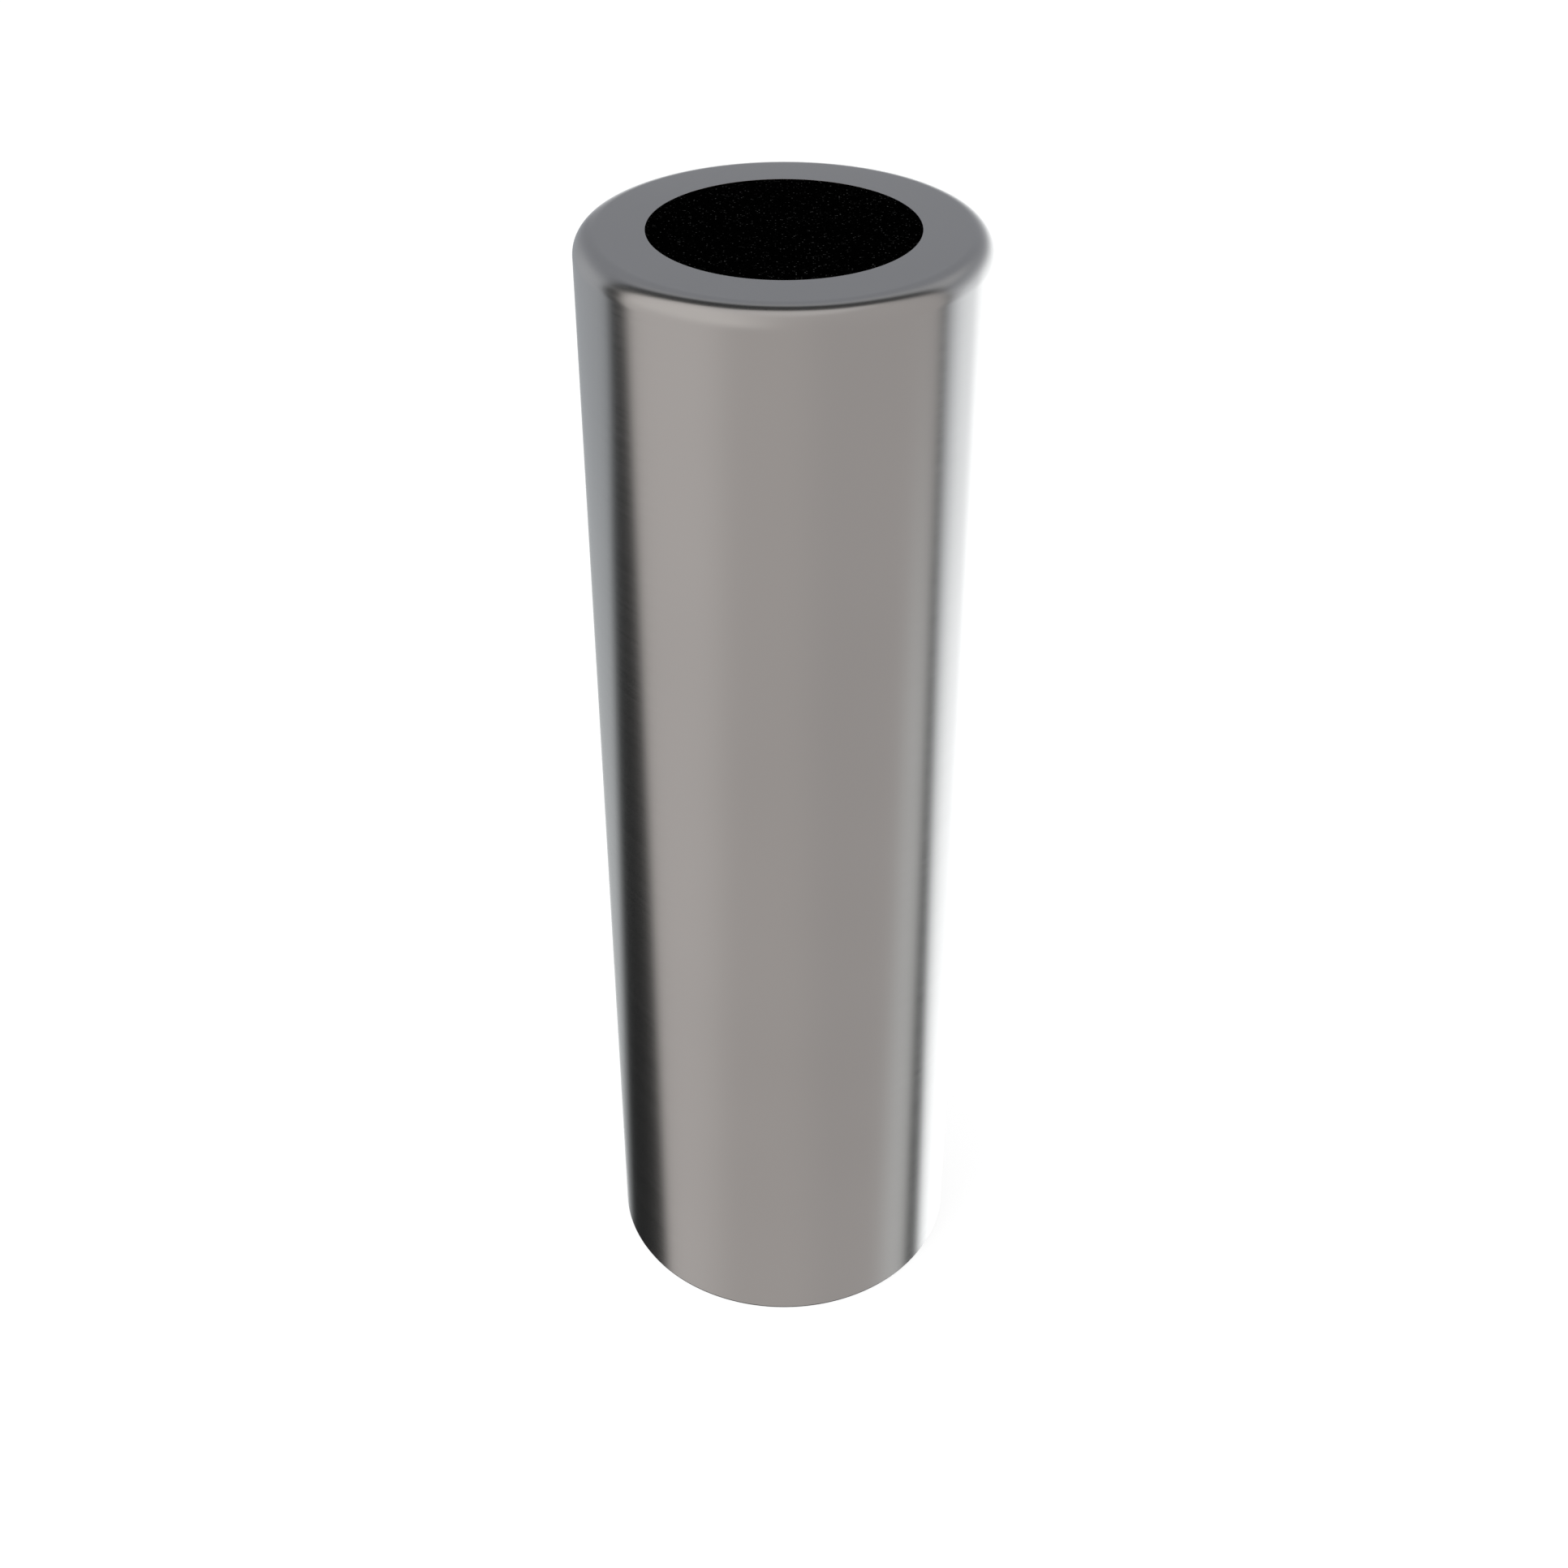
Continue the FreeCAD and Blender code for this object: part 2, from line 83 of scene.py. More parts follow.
SLEEVE_BORE, SLEEVE_RADIUS, SLEEVE_FOOT, SLEEVE_TOP = round_size("outer_sleeve")
HEIGHT = cad_box[1].z
print(f"height {HEIGHT / MM:.1f} mm, outside radius {SLEEVE_RADIUS / MM:.1f} mm")

# %% [markdown]
# ## Working by hand, in code
#
# Blender's operators act on everything that is selected. So each step starts with nothing selected,
# and then picks the vertices, edges or faces that it wants by where they are or which way they face.

# %% Helpers for selecting
def select_nothing():
    if bpy.context.object and bpy.context.object.mode != "OBJECT":
        bpy.ops.object.mode_set(mode="OBJECT")
    bpy.ops.object.select_all(action="DESELECT")


def select_only(piece):
    select_nothing()
    piece.select_set(True)
    bpy.context.view_layer.objects.active = piece


def pick(piece, wanted, kind="VERT"):
    """Edit mode, with only the parts selected that wanted() says yes to."""
    select_only(piece)
    bpy.ops.object.mode_set(mode="EDIT")
    bpy.ops.mesh.select_mode(type=kind)
    bpy.ops.mesh.select_all(action="DESELECT")
    shape = bmesh.from_edit_mesh(piece.data)
    parts = {"VERT": shape.verts, "EDGE": shape.edges, "FACE": shape.faces}[kind]
    for part in parts:
        if wanted(part):
            part.select_set(True)
    shape.select_flush_mode()
    bmesh.update_edit_mesh(piece.data)


def everything(part):
    return True


# %% [markdown]
# A turned piece is made as on a lathe. One vertex is extruded from corner to corner to draw half of
# the section, its corners are rounded with a vertex bevel, and the outline is spun once round the
# upright axis. A cylinder with a bevel would need far more steps for a cap with a dish and a well.
# After the spin the first and last copies lie on each other, so doubles are merged, and then the
# normals are turned outwards.

# %% Draw an outline and turn it
def draw_outline(name, corners, closed=True):
    """Corners are (radius, height) or (radius, height, rounding)."""
    select_nothing()
    first = corners[0]
    bpy.ops.mesh.primitive_plane_add(size=MM, location=(first[0], 0, first[1]))
    piece = bpy.context.object
    piece.name = piece.data.name = name
    bpy.ops.object.transform_apply(location=True, rotation=False, scale=False)
    pick(piece, everything)
    bpy.ops.mesh.merge(type="CENTER")
    route = corners + corners[:1] if closed else corners
    for start, end in zip(route, route[1:]):
        step = (end[0] - start[0], 0, end[1] - start[1])
        bpy.ops.mesh.extrude_region_move(TRANSFORM_OT_translate={"value": step})
    bpy.ops.mesh.select_all(action="SELECT")
    bpy.ops.mesh.remove_doubles(threshold=0.001 * MM)
    for rounding in sorted({corner[2] for corner in corners if len(corner) > 2}):
        places = [Vector((c[0], 0, c[1])) for c in corners if len(c) > 2 and c[2] == rounding]
        pick(piece, lambda v: any((v.co - place).length < 0.01 * MM for place in places))
        segments = min(16, round(rounding / MM) + 3)
        bpy.ops.mesh.bevel(offset=rounding, affect="VERTICES", segments=segments, clamp_overlap=False)
    bpy.ops.object.mode_set(mode="OBJECT")
    return piece


def tidy_shell(piece):
    """Merges doubles and points every face outwards."""
    pick(piece, everything)
    bpy.ops.mesh.remove_doubles(threshold=0.001 * MM)
    bpy.ops.mesh.normals_make_consistent(inside=False)
    bpy.ops.object.mode_set(mode="OBJECT")


def turned(name, corners, steps=128):
    """A piece turned from an outline. An outline that starts on the axis also ends there."""
    solid = corners[0][0] == 0
    piece = draw_outline(name, corners, closed=not solid)
    pick(piece, everything)
    bpy.ops.mesh.spin(steps=steps, angle=2 * math.pi, center=(0, 0, 0), axis=(0, 0, 1))
    tidy_shell(piece)
    return piece


def use_modifier(piece, kind, **settings):
    """Adds a modifier and applies it at once."""
    select_only(piece)
    modifier = piece.modifiers.new(kind.lower(), kind)
    for key, value in settings.items():
        setattr(modifier, key, value)
    bpy.ops.object.modifier_apply(modifier=modifier.name)


# %% [markdown]
# ## Finishes
#
# A material is a small graph of nodes. This class keeps the graph short to write: it starts from
# the shader and the piece's own coordinates, in metres, and adds noise, cells and rings to them.
# Object coordinates stay on the piece when it moves, so no pattern slides.

# %% A short way to write a finish
class Finish:
    made = {}

    def __init__(self, name, **sockets):
        self.material = bpy.data.materials.new(name)
        self.material.use_nodes = True
        self.tree = self.material.node_tree
        self.shader = self.tree.nodes["Principled BSDF"]
        self.place = self.node("ShaderNodeTexCoord").outputs["Object"]
        for key, value in sockets.items():
            self.shader.inputs[key.replace("_", " ")].default_value = value
        Finish.made[name] = self.material
        print("finish:", name)

    def node(self, kind, **settings):
        made = self.tree.nodes.new(kind)
        for key, value in settings.items():
            if key in made.inputs:
                made.inputs[key].default_value = value
            else:
                setattr(made, key, value)
        return made

    def join(self, source, target):
        self.tree.links.new(source, target)

    def stretched(self, scale):
        """The piece's coordinates, multiplied along each axis."""
        mapping = self.node("ShaderNodeMapping")
        mapping.inputs["Scale"].default_value = scale
        self.join(self.place, mapping.inputs["Vector"])
        return mapping.outputs["Vector"]

    def noise(self, vector, scale, detail=3.0, roughness=0.5):
        made = self.node("ShaderNodeTexNoise", Scale=scale, Detail=detail, Roughness=roughness)
        self.join(vector, made.inputs["Vector"])
        return made.outputs["Fac"]

    def cells(self, scale, output="Color"):
        """Voronoi cells: a random colour each, or the distance to the middle of the cell."""
        made = self.node("ShaderNodeTexVoronoi", Scale=scale)
        self.join(self.place, made.inputs["Vector"])
        return made.outputs[output]

    def rings(self, scale, wobble=0.5):
        """Turning marks: fine rings round the upright axis."""
        made = self.node("ShaderNodeTexWave", wave_type="RINGS", rings_direction="Z")
        for key, value in (("Scale", scale), ("Distortion", wobble), ("Detail", 3.0)):
            made.inputs[key].default_value = value
        self.join(self.place, made.inputs["Vector"])
        return made.outputs["Fac"]

    def number(self, colour):
        """One random number from a cell's random colour."""
        split = self.node("ShaderNodeSeparateColor")
        self.join(colour, split.inputs["Color"])
        return split.outputs["Red"]

    def maths(self, operation, *values):
        made = self.node("ShaderNodeMath", operation=operation)
        for socket, value in zip(made.inputs, values):
            if isinstance(value, (int, float)):
                socket.default_value = value
            else:
                self.join(value, socket)
        return made.outputs[0]

    def spread(self, source, low, high, start=0.3, end=0.7):
        """A value carried from start..end to low..high."""
        made = self.node("ShaderNodeMapRange")
        for key, value in (("From Min", start), ("From Max", end), ("To Min", low), ("To Max", high)):
            made.inputs[key].default_value = value
        self.join(source, made.inputs["Value"])
        return made.outputs["Result"]

    def colour(self, source, *stops):
        """The piece's colour from a value: stops are (position, colour)."""
        made = self.node("ShaderNodeValToRGB")
        elements = made.color_ramp.elements
        while len(elements) < len(stops):
            elements.new(0.5)
        for element, (position, colour) in zip(elements, stops):
            element.position = position
            element.color = (*colour, 1)
        self.join(source, made.inputs["Fac"])
        self.join(made.outputs["Color"], self.shader.inputs["Base Color"])

    def roughness(self, source):
        self.join(source, self.shader.inputs["Roughness"])

    def bump(self, height, strength, distance):
        made = self.node("ShaderNodeBump", Strength=strength, Distance=distance)
        self.join(height, made.inputs["Height"])
        self.join(made.outputs["Normal"], self.shader.inputs["Normal"])


# %% [markdown]
# The sleeve and the cap are stainless steel, ground and then buffed until no scratch is seen. What
# stays is a satin blur in the reflections. A mirror would be too sharp, and visible brush lines
# would belong to a cheaper finish. So the metal has one low roughness that hardly varies, from a
# noise that is stretched round the tube, as the buffing wheel ran.

# %% Polished stainless steel
satin = Finish("polished_stainless", Metallic=1.0)
cloudiness = satin.noise(satin.place, 6.0, 2.0)
satin.colour(cloudiness, (0.3, (0.55, 0.548, 0.545)), (0.7, (0.57, 0.568, 0.565)))
buffing = satin.noise(satin.stretched((4, 4, 900)), 1.0, 4.0)
satin.roughness(satin.spread(buffing, 0.205, 0.235))
satin.bump(buffing, 0.015, 0.2 * MM)

# %% [markdown]
# Washers and the bolt are plain stainless steel from the machine. They show fine turning rings and
# a slightly duller, less even surface than the sleeve.

# %% Stainless fasteners
machined = Finish("stainless_fastener", Metallic=1.0)
dullness = machined.noise(machined.place, 90.0, 4.0)
machined.colour(dullness, (0.3, (0.50, 0.50, 0.49)), (0.7, (0.64, 0.64, 0.63)))
turning_marks = machined.rings(700.0)
machined.roughness(machined.spread(turning_marks, 0.26, 0.38, 0.0, 1.0))
machined.bump(turning_marks, 0.15, 0.05 * MM)

# %% [markdown]
# The core is dipped in molten zinc. Zinc freezes in flat crystals, the spangle, and each crystal
# reflects a little differently. Voronoi cells with a random grey each do that, a few millimetres to
# a centimetre wide. A cloudy noise over them is the dull patina that grows outdoors.

# %% Galvanised steel
zinc = Finish("galvanised_steel", Metallic=0.85)
crystal = zinc.number(zinc.cells(130.0))
patina = zinc.noise(zinc.place, 22.0, 6.0, 0.6)
zinc.colour(
    zinc.maths("ADD", zinc.maths("MULTIPLY", crystal, 0.45), zinc.maths("MULTIPLY", patina, 0.55)),
    (0.25, (0.30, 0.31, 0.325)), (0.5, (0.43, 0.44, 0.455)), (0.75, (0.57, 0.58, 0.59)),
)
dull_crystals = zinc.spread(crystal, 0.0, 0.16, 0.0, 1.0)
zinc.roughness(zinc.maths("ADD", dull_crystals, zinc.spread(patina, 0.34, 0.5)))
zinc.bump(patina, 0.25, 0.3 * MM)

# %% [markdown]
# A weld under zinc is darker and more matt than the plate beside it, with soot-coloured spots where
# slag sat.

# %% Weld metal
weld_skin = Finish("weld_metal", Metallic=0.8)
spots = weld_skin.noise(weld_skin.place, 260.0, 5.0, 0.6)
weld_skin.colour(
    spots, (0.32, (0.13, 0.13, 0.135)), (0.5, (0.27, 0.27, 0.28)), (0.68, (0.40, 0.40, 0.41)),
)
weld_skin.roughness(weld_skin.spread(spots, 0.38, 0.6))
weld_skin.bump(spots, 0.3, 0.3 * MM)

# %% [markdown]
# Concrete is a grey cement paste with sand in it and small air holes. The sand is a fine noise and
# the air holes are the dark middles of scattered cells.

# %% Concrete
cement = Finish("concrete", Roughness=0.92)
sand = cement.noise(cement.place, 420.0, 6.0, 0.7)
cloud = cement.noise(cement.place, 18.0, 4.0)
cement.colour(
    cement.maths("ADD", cement.maths("MULTIPLY", sand, 0.5), cement.maths("MULTIPLY", cloud, 0.5)),
    (0.35, (0.27, 0.262, 0.245)), (0.5, (0.46, 0.45, 0.425)), (0.65, (0.60, 0.59, 0.56)),
)
air_holes = cement.spread(cement.cells(160.0, "Distance"), 0.0, 1.0, 0.1, 0.25)
cement.bump(cement.maths("ADD", air_holes, cement.maths("MULTIPLY", sand, 0.5)), 0.7, 0.8 * MM)

# %% [markdown]
# Rubber and the black polyethylene of the guide rings are both nearly black. What tells them apart
# is the gloss. The rubber is matt with a grey bloom, and the plastic is waxy with fine marks from
# the lathe.

# %% Rubber and guide plastic
rubber = Finish("rubber")
bloom = rubber.noise(rubber.place, 60.0, 5.0, 0.6)
rubber.colour(bloom, (0.35, (0.014, 0.014, 0.015)), (0.7, (0.032, 0.032, 0.034)))
rubber.roughness(rubber.spread(bloom, 0.55, 0.8))
rubber.bump(rubber.noise(rubber.place, 1500.0, 2.0), 0.25, 0.1 * MM)

wax = Finish("guide_plastic")
wax_cloud = wax.noise(wax.place, 35.0, 4.0)
wax.colour(wax_cloud, (0.3, (0.022, 0.022, 0.026)), (0.7, (0.040, 0.040, 0.045)))
wax.roughness(wax.spread(wax_cloud, 0.32, 0.46))
wax.bump(wax.noise(wax.stretched((3, 3, 1200)), 1.0, 2.0), 0.2, 0.1 * MM)

# %% [markdown]
# The insert's carrier is cut from aluminium sheet. Rolling leaves straight fine lines, all one way,
# so the noise is squeezed across one axis and stretched along the other.

# %% Mill aluminium
sheet_metal = Finish("insert_aluminium", Metallic=1.0)
rolling = sheet_metal.noise(sheet_metal.stretched((1500, 12, 12)), 1.0, 3.0)
sheet_metal.colour(rolling, (0.3, (0.66, 0.665, 0.675)), (0.7, (0.78, 0.785, 0.795)))
sheet_metal.roughness(sheet_metal.spread(rolling, 0.28, 0.42))
sheet_metal.bump(rolling, 0.1, 0.05 * MM)

# %% [markdown]
# The black facing is crushed grit bonded in black resin, so that nobody slips who steps on it. It
# drinks nearly all light. The few glints, each less than a millimetre wide, are painted highlights:
# grey spots in the colour of a matt surface that has no shine of its own. Cells give the grains, a
# random number per cell picks the few that get a painted glint, and the distance to the cell's
# middle keeps each painted glint small.

# %% Black grit
grit = Finish("grit_facing", Roughness=1.0, Specular_IOR_Level=0.0)
GRAIN_CELLS = 1150.0
grain = grit.number(grit.cells(GRAIN_CELLS))
# Painted highlight: the picked grains get a grey glint painted into their colour, not a real shine.
painted_glint = grit.maths("POWER", grit.spread(grain, 0.0, 1.0, 0.80, 1.0), 4.0)
painted_glint_spot = grit.spread(grit.cells(GRAIN_CELLS, "Distance"), 1.0, 0.0, 0.15, 0.55)
RESIN_BLACK = (0.0002, 0.0002, 0.0002)
PAINTED_GLINT_GREY = (0.050, 0.050, 0.050)
grit.colour(grit.maths("MULTIPLY", painted_glint, painted_glint_spot), (0.0, RESIN_BLACK), (1.0, PAINTED_GLINT_GREY))

# %% [markdown]
# ## Handing a piece over
#
# A finished piece gets smooth shading that still breaks at real edges. Weighted normals keep the
# flat faces flat beside a rounding, which is what makes polished metal look machined. Then the
# piece takes its finish, rides on its CAD body and stands for its CAD node.

# %% Finish a piece
def hand_over(piece, slot, body, *nodes, smooth=32):
    select_only(piece)
    bpy.ops.object.shade_smooth_by_angle(angle=math.radians(smooth))
    use_modifier(piece, "WEIGHTED_NORMAL", keep_sharp=True)
    piece.data.materials.clear()
    piece.data.materials.append(Finish.made[slot])
    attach(piece, body)
    if nodes:
        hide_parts(*nodes)
    size = " x ".join(f"{length / MM:.1f}" for length in piece.dimensions)
    print(f"{piece.name}: {size} mm, {len(piece.data.polygons)} faces")
    return piece


# %% [markdown]
# ## The sleeve
#
# The sleeve is a plain tube, 3 mm thick, with its lower edge broken so that it doesn't cut a hand.
# It meets the cap in a polished butt joint, so its upper edge stays square. The tube is spun in
# 256 steps because its reflections are the whole look of this object.

# %% Outer sleeve
FINE_STEPS = 256
sleeve_tube = turned("sleeve_tube", [
    (SLEEVE_BORE, SLEEVE_FOOT, 0.4 * MM),
    (SLEEVE_RADIUS, SLEEVE_FOOT, 0.5 * MM),
    (SLEEVE_RADIUS, SLEEVE_TOP),
    (SLEEVE_BORE, SLEEVE_TOP),
], FINE_STEPS)
hand_over(sleeve_tube, "polished_stainless", "sleeve", "outer_sleeve")

# %% [markdown]
# ## The cap
#
# The cap is turned from one piece. From outside it is only a flat ring with a 12 mm rounding at its
# edge. Below it has a collar that meets the sleeve, a spigot that fits in the sleeve's bore, a thin
# web, and a hub that carries the bolt. From above a shallow dish takes the insert, and a deeper
# well hides the bolt's head.

# %% Turned cap
hole, cap_radius, cap_foot, cap_top = round_size("top_cap")
DISH_RADIUS = 72 * MM
DISH_FLOOR = cap_top - 10 * MM
WELL_RADIUS = 24 * MM
WELL_FLOOR = DISH_FLOOR - 20 * MM
WEB_UNDERSIDE = DISH_FLOOR - 6 * MM
HUB_RADIUS = 34 * MM
SPIGOT_RADIUS = SLEEVE_BORE - 0.1 * MM
SPIGOT_BORE = SPIGOT_RADIUS - 8 * MM
EDGE_RADIUS = 12 * MM
polished_cap = turned("polished_cap", [
    (hole, WELL_FLOOR, 0.3 * MM),
    (WELL_RADIUS, WELL_FLOOR, 1.0 * MM),
    (WELL_RADIUS, DISH_FLOOR, 0.5 * MM),
    (DISH_RADIUS, DISH_FLOOR, 0.2 * MM),
    (DISH_RADIUS, cap_top, 0.1 * MM),
    (cap_radius, cap_top, EDGE_RADIUS),
    (cap_radius, SLEEVE_TOP),
    (SPIGOT_RADIUS, SLEEVE_TOP),
    (SPIGOT_RADIUS, cap_foot, 0.8 * MM),
    (SPIGOT_BORE, cap_foot, 0.8 * MM),
    (SPIGOT_BORE, WEB_UNDERSIDE, 2.0 * MM),
    (HUB_RADIUS, WEB_UNDERSIDE, 2.0 * MM),
    (HUB_RADIUS, cap_foot, 0.6 * MM),
    (hole, cap_foot, 0.3 * MM),
], FINE_STEPS)
hand_over(polished_cap, "polished_stainless", "sleeve", "top_cap")

# %% [markdown]
# ## Seals, pad and guide rings
#
# These rings are turned too, with soft roundings. The strip under the sleeve is the thin dark line
# at the ground. The head pad has round grooves, which make the rubber softer under load.

# %% Rubber rings
bore, radius, foot, top = round_size("base_seal")
ground_seal = turned("ground_seal", [
    (bore, foot, 0.3 * MM), (radius, foot, 0.3 * MM), (radius, top, 0.3 * MM), (bore, top, 0.3 * MM),
], FINE_STEPS)
hand_over(ground_seal, "rubber", "sleeve", "base_seal")

bore, radius, foot, top = round_size("head_pad")
GROOVE_DEPTH = 0.7 * MM
GROOVE_WIDTH = 3 * MM
GROOVE_COUNT = 4
pad_corners = [(bore, foot, 0.4 * MM), (radius, foot, 0.4 * MM), (radius, top, 0.4 * MM)]
for number in range(GROOVE_COUNT):
    middle = radius + (bore - radius) * (number + 1) / (GROOVE_COUNT + 1)
    outer, inner = middle + GROOVE_WIDTH / 2, middle - GROOVE_WIDTH / 2
    pad_corners += [
        (outer, top), (outer, top - GROOVE_DEPTH), (inner, top - GROOVE_DEPTH), (inner, top),
    ]
pad_corners.append((bore, top, 0.4 * MM))
hand_over(turned("grooved_pad", pad_corners), "rubber", "core", "head_pad")

bore, radius, foot, top = round_size("sealing_washer")
seal_disc = turned("bolt_seal", [
    (bore, foot, 0.6 * MM), (radius, foot, 0.8 * MM), (radius, top, 0.8 * MM), (bore, top, 0.6 * MM),
])
hand_over(seal_disc, "rubber", "sleeve", "sealing_washer")

# %% [markdown]
# The guide rings are turned from black polyethylene, which slides on steel without grease. Each
# hooks over the rim of its plate, so neither can drop when the sleeve is lifted.

# %% Guide rings
_, plate_radius, plate_foot, plate_top = round_size("head_plate")
bore, radius, foot, top = round_size("upper_guide_ring")
upper_guide = turned("upper_guide", [
    (bore, foot, 0.4 * MM),
    (radius, foot, 1.2 * MM),
    (radius, top, 1.2 * MM),
    (bore, top, 0.4 * MM),
    (bore, plate_top),
    (plate_radius, plate_top),
    (plate_radius, plate_foot),
    (bore, plate_foot),
], FINE_STEPS)
hand_over(upper_guide, "guide_plastic", "core", "upper_guide_ring")

_, foot_plate_radius, _, foot_plate_top = round_size("base_plate")
bore, radius, foot, top = round_size("lower_guide_ring")
lower_guide = turned("lower_guide", [
    (foot_plate_radius, foot, 0.3 * MM),
    (radius, foot, 1.0 * MM),
    (radius, top, 1.2 * MM),
    (bore, top, 0.8 * MM),
    (bore, foot_plate_top),
    (foot_plate_radius, foot_plate_top),
], FINE_STEPS)
hand_over(lower_guide, "guide_plastic", "core", "lower_guide_ring")

# %% [markdown]
# ## The base plate
#
# The plate is cut from 15 mm steel. A turned disc gives the plate, and four drilled holes are cut
# with Boolean modifiers, because a boolean is what a drill does. Each hole's two rims are then
# picked by their distance from the hole's axis and bevelled, as a countersink breaks the edge.

# %% Base plate with anchor holes
_, _, plate_low, plate_high = round_size("base_plate")
ANCHOR_CIRCLE = 82.5 * MM
ANCHOR_RADIUS = 9 * MM
QUARTER_TURN = math.pi / 2
anchors = [
    ANCHOR_CIRCLE * Vector((math.cos(turn * QUARTER_TURN), math.sin(turn * QUARTER_TURN), 0))
    for turn in range(4)
]


def drill(piece, place, hole_radius, low, high):
    """Cuts an upright round hole."""
    select_nothing()
    bpy.ops.mesh.primitive_cylinder_add(
        vertices=64, radius=hole_radius, depth=high - low + 4 * MM,
        location=(place.x, place.y, (low + high) / 2),
    )
    drill_bit = bpy.context.object
    use_modifier(piece, "BOOLEAN", operation="DIFFERENCE", solver="EXACT", object=drill_bit)
    bpy.data.objects.remove(drill_bit)


def break_rims(piece, places, hole_radius, width, segments):
    """Bevels the level rims of round holes, found by their distance from the holes' axes."""
    def on_rim(vertex):
        return any(
            abs(math.hypot(vertex.co.x - place.x, vertex.co.y - place.y) - hole_radius) < 0.05 * MM
            for place in places
        )

    def rim_edge(edge):
        start, end = edge.verts
        return abs(start.co.z - end.co.z) < 0.01 * MM and on_rim(start) and on_rim(end)

    pick(piece, rim_edge, "EDGE")
    bpy.ops.mesh.bevel(offset=width, segments=segments, affect="EDGES")
    tidy_shell(piece)


foot_plate = turned("foot_plate", [
    (0, plate_low),
    (foot_plate_radius, plate_low, 0.8 * MM),
    (foot_plate_radius, plate_high, 0.8 * MM),
    (0, plate_high),
], FINE_STEPS)
for anchor in anchors:
    drill(foot_plate, anchor, ANCHOR_RADIUS, plate_low, plate_high)
break_rims(foot_plate, anchors, ANCHOR_RADIUS, 0.8 * MM, 2)
hand_over(foot_plate, "galvanised_steel", "core", "base_plate")

# %% [markdown]
# ## The post and the head plate
#
# The post is a length of thick pipe with square sawn ends. The head plate is a disc with one hole
# for the cap's bolt. Both are simple, so the zinc on them has to do the work.

# %% Pipe and head plate
bore, post_radius, foot, top = round_size("core_post")
pipe = turned("impact_pipe", [
    (bore, foot), (post_radius, foot), (post_radius, top), (bore, top),
], FINE_STEPS)
hand_over(pipe, "galvanised_steel", "core", "core_post")

bolt_hole, _, _, _ = round_size("head_plate")
sleeve_carrier = turned("sleeve_carrier", [
    (bolt_hole, plate_foot, 0.6 * MM),
    (plate_radius, plate_foot, 0.4 * MM),
    (plate_radius, plate_top, 0.4 * MM),
    (bolt_hole, plate_top, 0.6 * MM),
], FINE_STEPS)
hand_over(sleeve_carrier, "galvanised_steel", "core", "head_plate")

# %% [markdown]
# The concrete is poured into the pipe and levelled with a float, so its top is a little uneven. It
# never shows once the head plate is welded on, but a cutaway would show it.

# %% Concrete filling
def name_vertices(piece, name, wanted):
    """A vertex group of the places that wanted() says yes to, for a modifier to work on."""
    group = piece.vertex_groups.new(name=name)
    group.add([v.index for v in piece.data.vertices if wanted(v.co)], 1, "REPLACE")


_, radius, foot, top = round_size("concrete_fill")
RING_GAP = 6 * MM
top_rings = [(radius - RING_GAP * number, top) for number in range(int(radius / RING_GAP))]
poured = turned("poured_concrete", [(0, foot), (radius, foot), *top_rings, (0, top)], 96)
name_vertices(
    poured, "floated", lambda spot: spot.z > top - MM and math.hypot(spot.x, spot.y) < radius - MM
)
lumps = bpy.data.textures.new("float_marks", "CLOUDS")
lumps.noise_scale = 9 * MM
use_modifier(
    poured, "DISPLACE", texture=lumps, vertex_group="floated", direction="Z", mid_level=1.0,
    strength=2 * MM,
)
hand_over(poured, "concrete", "core", "concrete_fill")

# %% [markdown]
# ## Ribs
#
# Four ribs stiffen the pipe's foot, between the anchor holes. Each is a flame-cut plate: low at its
# outer end, full height at the pipe, and with its inner lower corner cut off to clear the weld. One
# is drawn, filled, pushed out to its thickness and bevelled. The other three are copies, turned in
# steps of a right angle.

# %% Four ribs
RIB_THICKNESS = 8 * MM
RIB_TOE = 12 * MM
RIB_SHOULDER = 10 * MM
RIB_COPE = 8 * MM
RIB_REACH = foot_plate_radius - 7 * MM
rib_foot, rib_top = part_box("rib_1")[0].z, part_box("rib_1")[1].z
rib = draw_outline("rib_plate_1", [
    (post_radius + RIB_COPE, rib_foot),
    (RIB_REACH, rib_foot),
    (RIB_REACH, rib_foot + RIB_TOE),
    (post_radius + RIB_SHOULDER, rib_top),
    (post_radius, rib_top),
    (post_radius, rib_foot + RIB_COPE),
])
pick(rib, everything)
bpy.ops.mesh.edge_face_add()
bpy.ops.transform.translate(value=(0, -RIB_THICKNESS / 2, 0))
bpy.ops.mesh.extrude_region_move(TRANSFORM_OT_translate={"value": (0, RIB_THICKNESS, 0)})
tidy_shell(rib)
use_modifier(rib, "BEVEL", width=0.8 * MM, segments=2, limit_method="ANGLE")


def turned_copy(piece, name, angle):
    """A copy with its own mesh, turned round the upright axis."""
    copy = piece.copy()
    copy.data = piece.data.copy()
    copy.name = copy.data.name = name
    bpy.context.scene.collection.objects.link(copy)
    turn_in_place(copy, angle)
    return copy


def turn_in_place(piece, angle):
    select_only(piece)
    piece.rotation_euler = (0, 0, angle)
    bpy.ops.object.transform_apply(location=False, rotation=True, scale=False)


def all_round(piece, name):
    """The piece and three copies, numbered, at 45 degrees and each quarter turn from there."""
    angles = [math.radians(45 + 90 * number) for number in range(4)]
    copies = [turned_copy(piece, f"{name}_{number}", angles[number - 1]) for number in (2, 3, 4)]
    turn_in_place(piece, angles[0])
    return [piece, *copies]


ribs = all_round(rib, "rib_plate")
for number, piece in enumerate(ribs, 1):
    hand_over(piece, "galvanised_steel", "core", f"rib_{number}")

# %% [markdown]
# ## Welds
#
# A weld bead is a row of overlapping ripples, each where the pool of metal froze. The ring welds
# start as a spun section with a slightly convex face. Then every third slice of it is picked by its
# angle, and pushed out along its normals.

# %% Ring welds
RIPPLE = 2.4 * MM


